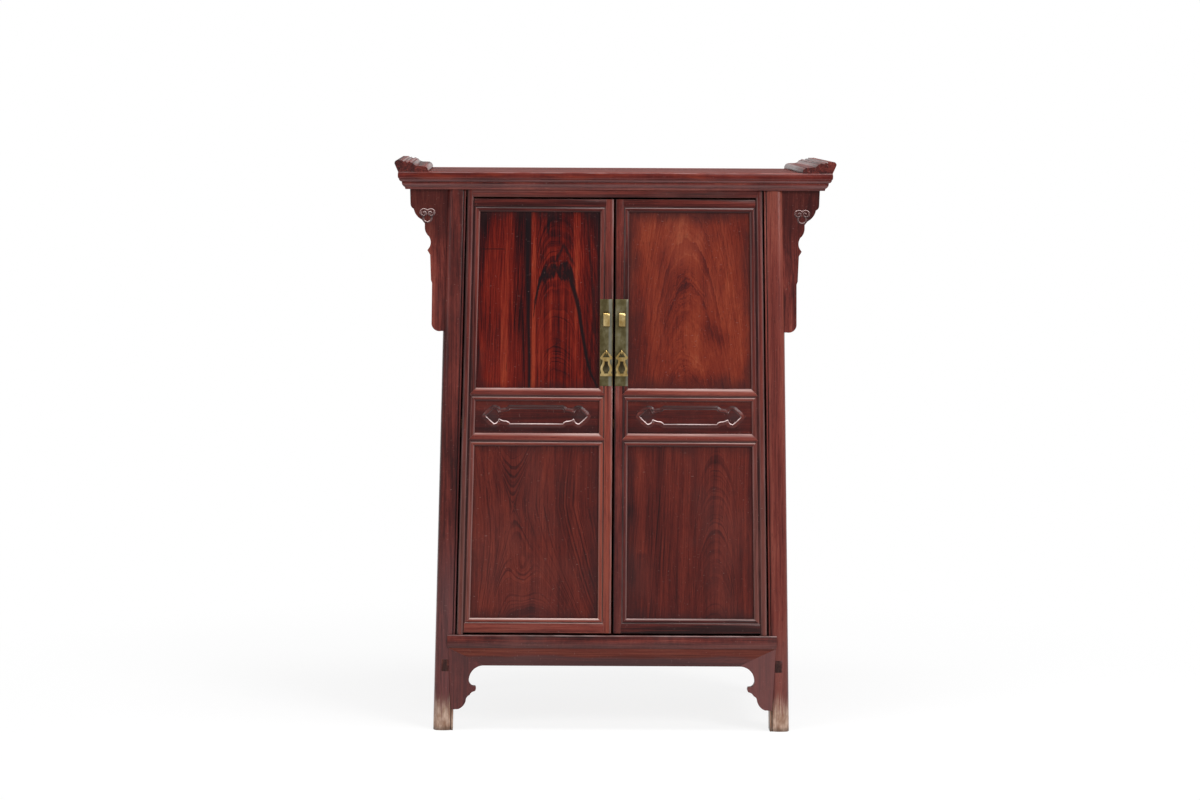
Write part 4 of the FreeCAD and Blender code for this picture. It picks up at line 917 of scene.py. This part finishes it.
choices = [
    (LEG, ["front_left_leg", "rear_left_leg", "rear_right_leg"]),
    (BRIGHTER_LEG, ["front_right_leg"]),
    (TOP_EDGE, ["top_front_member", "top_rear_member"]),
    (CROSSWISE, ["front_upper_rail"]),
    (LOWER_RAIL, ["front_lower_rail"]),
    (TOP_END, ["top_left_end", "top_right_end"]),
    (SIDEWAYS, both("side_upper_rail") + both("side_lower_rail") + both("side_apron")),
    (HANGING, ["front_left_hanging_spandrel", "front_right_hanging_spandrel", "rear_hanging_spandrels"]),
    (UPRIGHT, ["front_left_apron_spandrel", "front_right_apron_spandrel"]),
    (HINGE_STILE, ["left_door_hinge_stile"]),
    (OTHER_HINGE_STILE, ["right_door_hinge_stile"]),
    (WARM_STILE, ["left_door_meeting_stile"]),
    (DARK_STILE, ["right_door_meeting_stile"]),
    (APRON, ["front_apron"]),
    (SIDE_PANEL, both("side_panel")),
    (TOP_PANEL, ["top_panel"]),
    (DARK_RAIL, both("door_top_rail")),
    (MIDDLE_RAIL, both("door_middle_rails")),
    (BOTTOM_RAIL, ["left_door_bottom_rail"]),
    (DIM_BOTTOM_RAIL, ["right_door_bottom_rail"]),
    (RED, ["left_door_upper_panel"]),
    (CURLY, ["right_door_upper_panel"]),
    (ARCHED, ["left_door_lower_panel"]),
    (OTHER_ARCHED, ["right_door_lower_panel"]),
    (WAIST, both("door_waist_panel")),
    (PLAIN_ACROSS, ["rear_lower_rail", "rear_middle_rail", "rear_upper_rail", "rear_apron",
                    "floor_board", "shelf"]),
    (PLAIN_UP, ["rear_lower_panel", "rear_upper_panel"]),
    (PLAIN_DEEP, ["top_braces", "shelf_bearers"]),
    (PLATE, both("door_face_plate")),
    (BRIGHT, both("door_lock_staple") + both("door_pull_eye") + both("door_pull")),
]
for material, names in choices:
    for name in names:
        nodes[name].data.materials.clear()
        nodes[name].data.materials.append(material)


# Widths of the eased edges: pulls, eyes and staples, then face plates, then wood
BRASS_EASE = 0.00022
PLATE_EASE = 0.00025
WOOD_EASE = 0.00045
# Edges that turn by more than these degrees are eased
SHARP = 38


def ease_edges(node, width):
    """Takes the sharpness off a piece's edges, as planing and handling do."""
    weld = node.modifiers.new("weld", "WELD")
    weld.merge_threshold = 0.000002
    bevel = node.modifiers.new("ease", "BEVEL")
    bevel.width = width
    bevel.segments = 2
    bevel.limit_method = "ANGLE"
    bevel.angle_limit = math.radians(SHARP)
    bevel.use_clamp_overlap = True
    bevel.harden_normals = True


for name, node in nodes.items():
    if "pull" in name or "staple" in name:
        ease_edges(node, BRASS_EASE)
    elif "plate" in name:
        ease_edges(node, PLATE_EASE)
    else:
        ease_edges(node, WOOD_EASE)


# Carved lines

def smooth_path(points, per):
    """Points along a smooth open curve through the given ones, so many from each to the next."""
    count = len(points)
    line = []
    for i in range(count - 1):
        four = [points[min(max(i + k, 0), count - 1)] for k in (-1, 0, 1, 2)]
        for step in range(per):
            t = step / per
            line.append(tuple(
                0.5 * (2 * b + (c - a) * t + (2 * a - 5 * b + 4 * c - d) * t ** 2
                       + (3 * b - a - 3 * c + d) * t ** 3)
                for a, b, c, d in zip(*four)
            ))
    return line + [points[-1]]


# An open carved line starts this far along its taper and is whole after so many points
TAPER_START = 0.6
TAPER_POINTS = 5.0


def raised_line(name, path, closed, section, depth):
    """A carved line on the front: a section of (offset to the left of the path, height) swept along it."""
    count = len(path)
    mesh = bmesh.new()
    rows = []
    for i, (x, z) in enumerate(path):
        before = path[(i - 1) % count] if closed or i else path[i]
        after = path[(i + 1) % count] if closed or i < count - 1 else path[i]
        way = Vector((after[0] - before[0], after[1] - before[1])).normalized()
        side = Vector((-way.y, way.x))
        taper = 1.0 if closed else min(1.0, (min(i, count - 1 - i) + TAPER_START) / TAPER_POINTS)
        row = []
        for offset, height in section:
            at = Vector((x, z)) + side * offset * taper
            row.append(mesh.verts.new(on_front(at.x, at.y, depth - height * taper)))
        rows.append(row)
    pairs = list(zip(rows, rows[1:])) + ([(rows[-1], rows[0])] if closed else [])
    for row, following in pairs:
        for k in range(len(section) - 1):
            mesh.faces.new((row[k], row[k + 1], following[k + 1], following[k])).smooth = True
    bmesh.ops.recalc_face_normals(mesh, faces=mesh.faces)
    if sum(face.normal.y for face in mesh.faces) > 0:
        bmesh.ops.reverse_faces(mesh, faces=mesh.faces)
    data = bpy.data.meshes.new(name)
    mesh.to_mesh(data)
    mesh.free()
    return add_object(name, data)


def arc_points(a, via, b, steps):
    """Points of the arc from a by way of via to b, without b."""
    ax, ay = a
    bx, by = via
    cx, cy = b
    d = 2 * (ax * (by - cy) + bx * (cy - ay) + cx * (ay - by))
    aa = ax * ax + ay * ay
    bb = bx * bx + by * by
    cc = cx * cx + cy * cy
    ux = (aa * (by - cy) + bb * (cy - ay) + cc * (ay - by)) / d
    uy = (aa * (cx - bx) + bb * (ax - cx) + cc * (bx - ax)) / d
    radius = math.hypot(ax - ux, ay - uy)
    start = math.atan2(ay - uy, ax - ux)
    end = math.atan2(cy - uy, cx - ux)
    turn = (ax - ux) * (by - uy) - (ay - uy) * (bx - ux)
    sweep = (end - start) % (2 * math.pi) if turn > 0 else -((start - end) % (2 * math.pi))
    angles = [start + sweep * k / steps for k in range(steps)]
    return [(ux + radius * math.cos(angle), uy + radius * math.sin(angle)) for angle in angles]


# A quarter of the cartouche, from its left tip to its flat top, in halves of its length and height
QUARTER = [
    ((-1.0, 0.0), (-0.92, 0.52), (-0.83, 1.0)),
    ((-0.83, 1.0), (-0.76, 0.84), (-0.725, 0.42)),
    ((-0.725, 0.42), (-0.665, 0.60), (-0.60, 0.66)),
    ((-0.60, 0.66), (-0.555, 0.76), (-0.52, 1.0)),
]
ARC_STEPS = 7
# The left halves of a curled cloud and its hanging lobe, in halves of the cloud's width and height
HALF_CLOUD = [
    (-0.46, 0.30), (-0.56, 0.42), (-0.46, 0.58), (-0.26, 0.52), (-0.20, 0.26), (-0.40, 0.02),
    (-0.78, 0.06), (-0.98, 0.38), (-0.92, 0.78), (-0.56, 1.00), (-0.16, 0.90), (0.0, 0.70),
]
HALF_LOBE = [(-0.45, 0.15), (-0.60, -0.30), (-0.42, -0.78), (0.0, -0.98)]
SMOOTH_STEPS = 5
# Sections of the carved lines: offset and height
BEAD = [
    (0.0048, -0.0001), (0.0030, 0.0005), (0.0012, 0.0011), (0.0, 0.0014), (-0.0003, 0.0012),
    (-0.0014, -0.0001),
]
LIP = [(0.0013, -0.0001), (0.0008, 0.0009), (0.0, 0.0014), (-0.0008, 0.0009), (-0.0013, -0.0001)]


def cartouche(middle_x):
    """The outline of a waist panel's cartouche, from its left tip over the top."""
    left = []
    for arc in QUARTER:
        ends = [(x * CARTOUCHE_HALF_LENGTH, z * CARTOUCHE_HALF_HEIGHT) for x, z in arc]
        left += arc_points(*ends, ARC_STEPS)
    left.append(ends[-1])
    upper = left + [(-x, z) for x, z in reversed(left)]
    lower = [(x, -z) for x, z in reversed(upper[1:-1])]
    return [(middle_x + x, CARTOUCHE_Z + z) for x, z in upper + lower]


for side, sign in (("left", -1), ("right", 1)):
    outline = cartouche(sign * CARTOUCHE_X)
    piece = raised_line(f"{side}_waist_cartouche", outline, True, BEAD, WAIST_DEPTH)
    piece.data.materials.append(CARVED)
    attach(piece, f"{side}_door")

for side, sign in (("left", -1), ("right", 1)):
    for part, half in (("cloud", HALF_CLOUD), ("lobe", HALF_LOBE)):
        whole = half + [(-x, z) for x, z in reversed(half[:-1])]
        line = smooth_path(
            [(sign * CLOUD_X + x * CLOUD_HALF_WIDTH, CLOUD_Z + z * CLOUD_HALF_HEIGHT) for x, z in whole],
            SMOOTH_STEPS,
        )
        piece = raised_line(f"{side}_spandrel_{part}", line, False, LIP, SPANDREL_DEPTH)
        piece.data.materials.append(CARVED)
        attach(piece, "cabinet")


# Floor, light and camera

WHITE = (1.0, 1.0, 1.0)
# The floor's grey for the light that bounces, and the darker grey and the glow that are seen instead
FLOOR_GREY = (0.72, 0.72, 0.72)
FLOOR_SHADOW = (0.16, 0.16, 0.16)
FLOOR_GLOW = 0.86
# Between these distances the shadow gives way to plain white
SHADOW_REACH = (0.45, 1.25)
FLOOR_HALF = 9
ROOM = (0.22, 0.22, 0.225)


def sees_studio(tree):
    """1 on camera, glossy and transmission rays, which all see the white studio."""
    ray = add_node(tree, "ShaderNodeLightPath")
    answer = ray.outputs["Is Camera Ray"]
    for other in ("Is Glossy Ray", "Is Transmission Ray"):
        either = add_node(tree, "ShaderNodeMath", {0: answer, 1: ray.outputs[other]}, operation="MAXIMUM")
        answer = either.outputs[0]
    return answer


def mixed(tree, share, first, second):
    return add_node(tree, "ShaderNodeMixShader", {0: share, 1: first, 2: second}).outputs[0]


def studio_floor():
    """A pale floor that looks white, and keeps the object's shadow near it."""
    corners = [(x * FLOOR_HALF, y * FLOOR_HALF, 0) for x, y in ((-1, -1), (1, -1), (1, 1), (-1, 1))]
    data = bpy.data.meshes.new("studio_floor")
    data.from_pydata(corners, [], [(0, 1, 2, 3)])
    floor = add_object("studio_floor", data)
    material = bpy.data.materials.new("white_floor")
    tree = empty_tree(material)
    plain = add_node(tree, "ShaderNodeBsdfDiffuse", {"Color": opaque(FLOOR_GREY)})
    shadowed = add_node(tree, "ShaderNodeBsdfDiffuse", {"Color": opaque(FLOOR_SHADOW)})
    glow = add_node(tree, "ShaderNodeEmission", {"Color": opaque(WHITE), "Strength": FLOOR_GLOW})
    lifted = add_node(tree, "ShaderNodeAddShader", {0: shadowed.outputs[0], 1: glow.outputs[0]})
    white = add_node(tree, "ShaderNodeEmission", {"Color": opaque(WHITE), "Strength": 1.0})
    place = add_node(tree, "ShaderNodeTexCoord").outputs["Object"]
    reach = add_node(tree, "ShaderNodeVectorMath", {0: place}, operation="LENGTH").outputs["Value"]
    near, far = SHADOW_REACH
    away = add_node(
        tree, "ShaderNodeMapRange", {"Value": reach, "From Min": near, "From Max": far},
        interpolation_type="SMOOTHSTEP",
    )
    seen = mixed(tree, away.outputs[0], lifted.outputs[0], white.outputs[0])
    surface = mixed(tree, sees_studio(tree), plain.outputs[0], seen)
    add_node(tree, "ShaderNodeOutputMaterial", {"Surface": surface})
    data.materials.append(material)


def studio_world():
    """A dim room for the light that reaches the object, and white for what sees the studio."""
    world = bpy.data.worlds.new("studio")
    bpy.context.scene.world = world
    tree = empty_tree(world)
    room = add_node(tree, "ShaderNodeBackground", {"Color": opaque(ROOM)})
    white = add_node(tree, "ShaderNodeBackground", {"Color": opaque(WHITE)})
    surface = mixed(tree, sees_studio(tree), room.outputs[0], white.outputs[0])
    add_node(tree, "ShaderNodeOutputWorld", {"Surface": surface})


def soft_light(name, place, aim, size, power):
    """A rectangular lamp at a place, turned to its aim."""
    data = bpy.data.lights.new(name, "AREA")
    data.shape = "RECTANGLE"
    data.size, data.size_y = size
    data.energy = power
    way = Vector(aim) - Vector(place)
    turn = way.to_track_quat("-Z", "Y").to_matrix().to_4x4()
    add_object(name, data).matrix_world = Matrix.Translation(place) @ turn


studio_floor()
studio_world()
# Each lamp: its place, its aim, its two sizes and its power in watts
soft_light("key", (1.9, -2.7, 2.3), (0.0, -0.1, 0.42), (1.3, 1.3), 67.0)
soft_light("fill", (-2.6, -2.8, 1.5), (0.0, -0.1, 0.42), (1.6, 1.6), 28.0)
soft_light("overhead", (0.1, -0.5, 2.6), (0.0, -0.1, 0.4), (1.6, 0.7), 38.0)

# The camera stands left of the middle with its lens shifted, and looks a little down
# Its tilt is in degrees, its roll in radians
CAMERA_PLACE = (-0.153, -5.065, 0.9025)
CAMERA_DOWN = 5.03
CAMERA_ROLL = 0.0045

camera_data = bpy.data.cameras.new("photo_camera")
camera_data.sensor_width = 36.0
camera_data.lens = 105.0
camera_data.shift_x = 0.0792
camera_data.clip_end = 60.0
camera = add_object("photo_camera", camera_data)
camera.matrix_world = (
    Matrix.Translation(CAMERA_PLACE)
    @ Matrix.Rotation(math.radians(90 - CAMERA_DOWN), 4, "X")
    @ Matrix.Rotation(CAMERA_ROLL, 4, "Z")
)
bpy.context.scene.camera = camera
bpy.context.scene.view_settings.view_transform = "Standard"
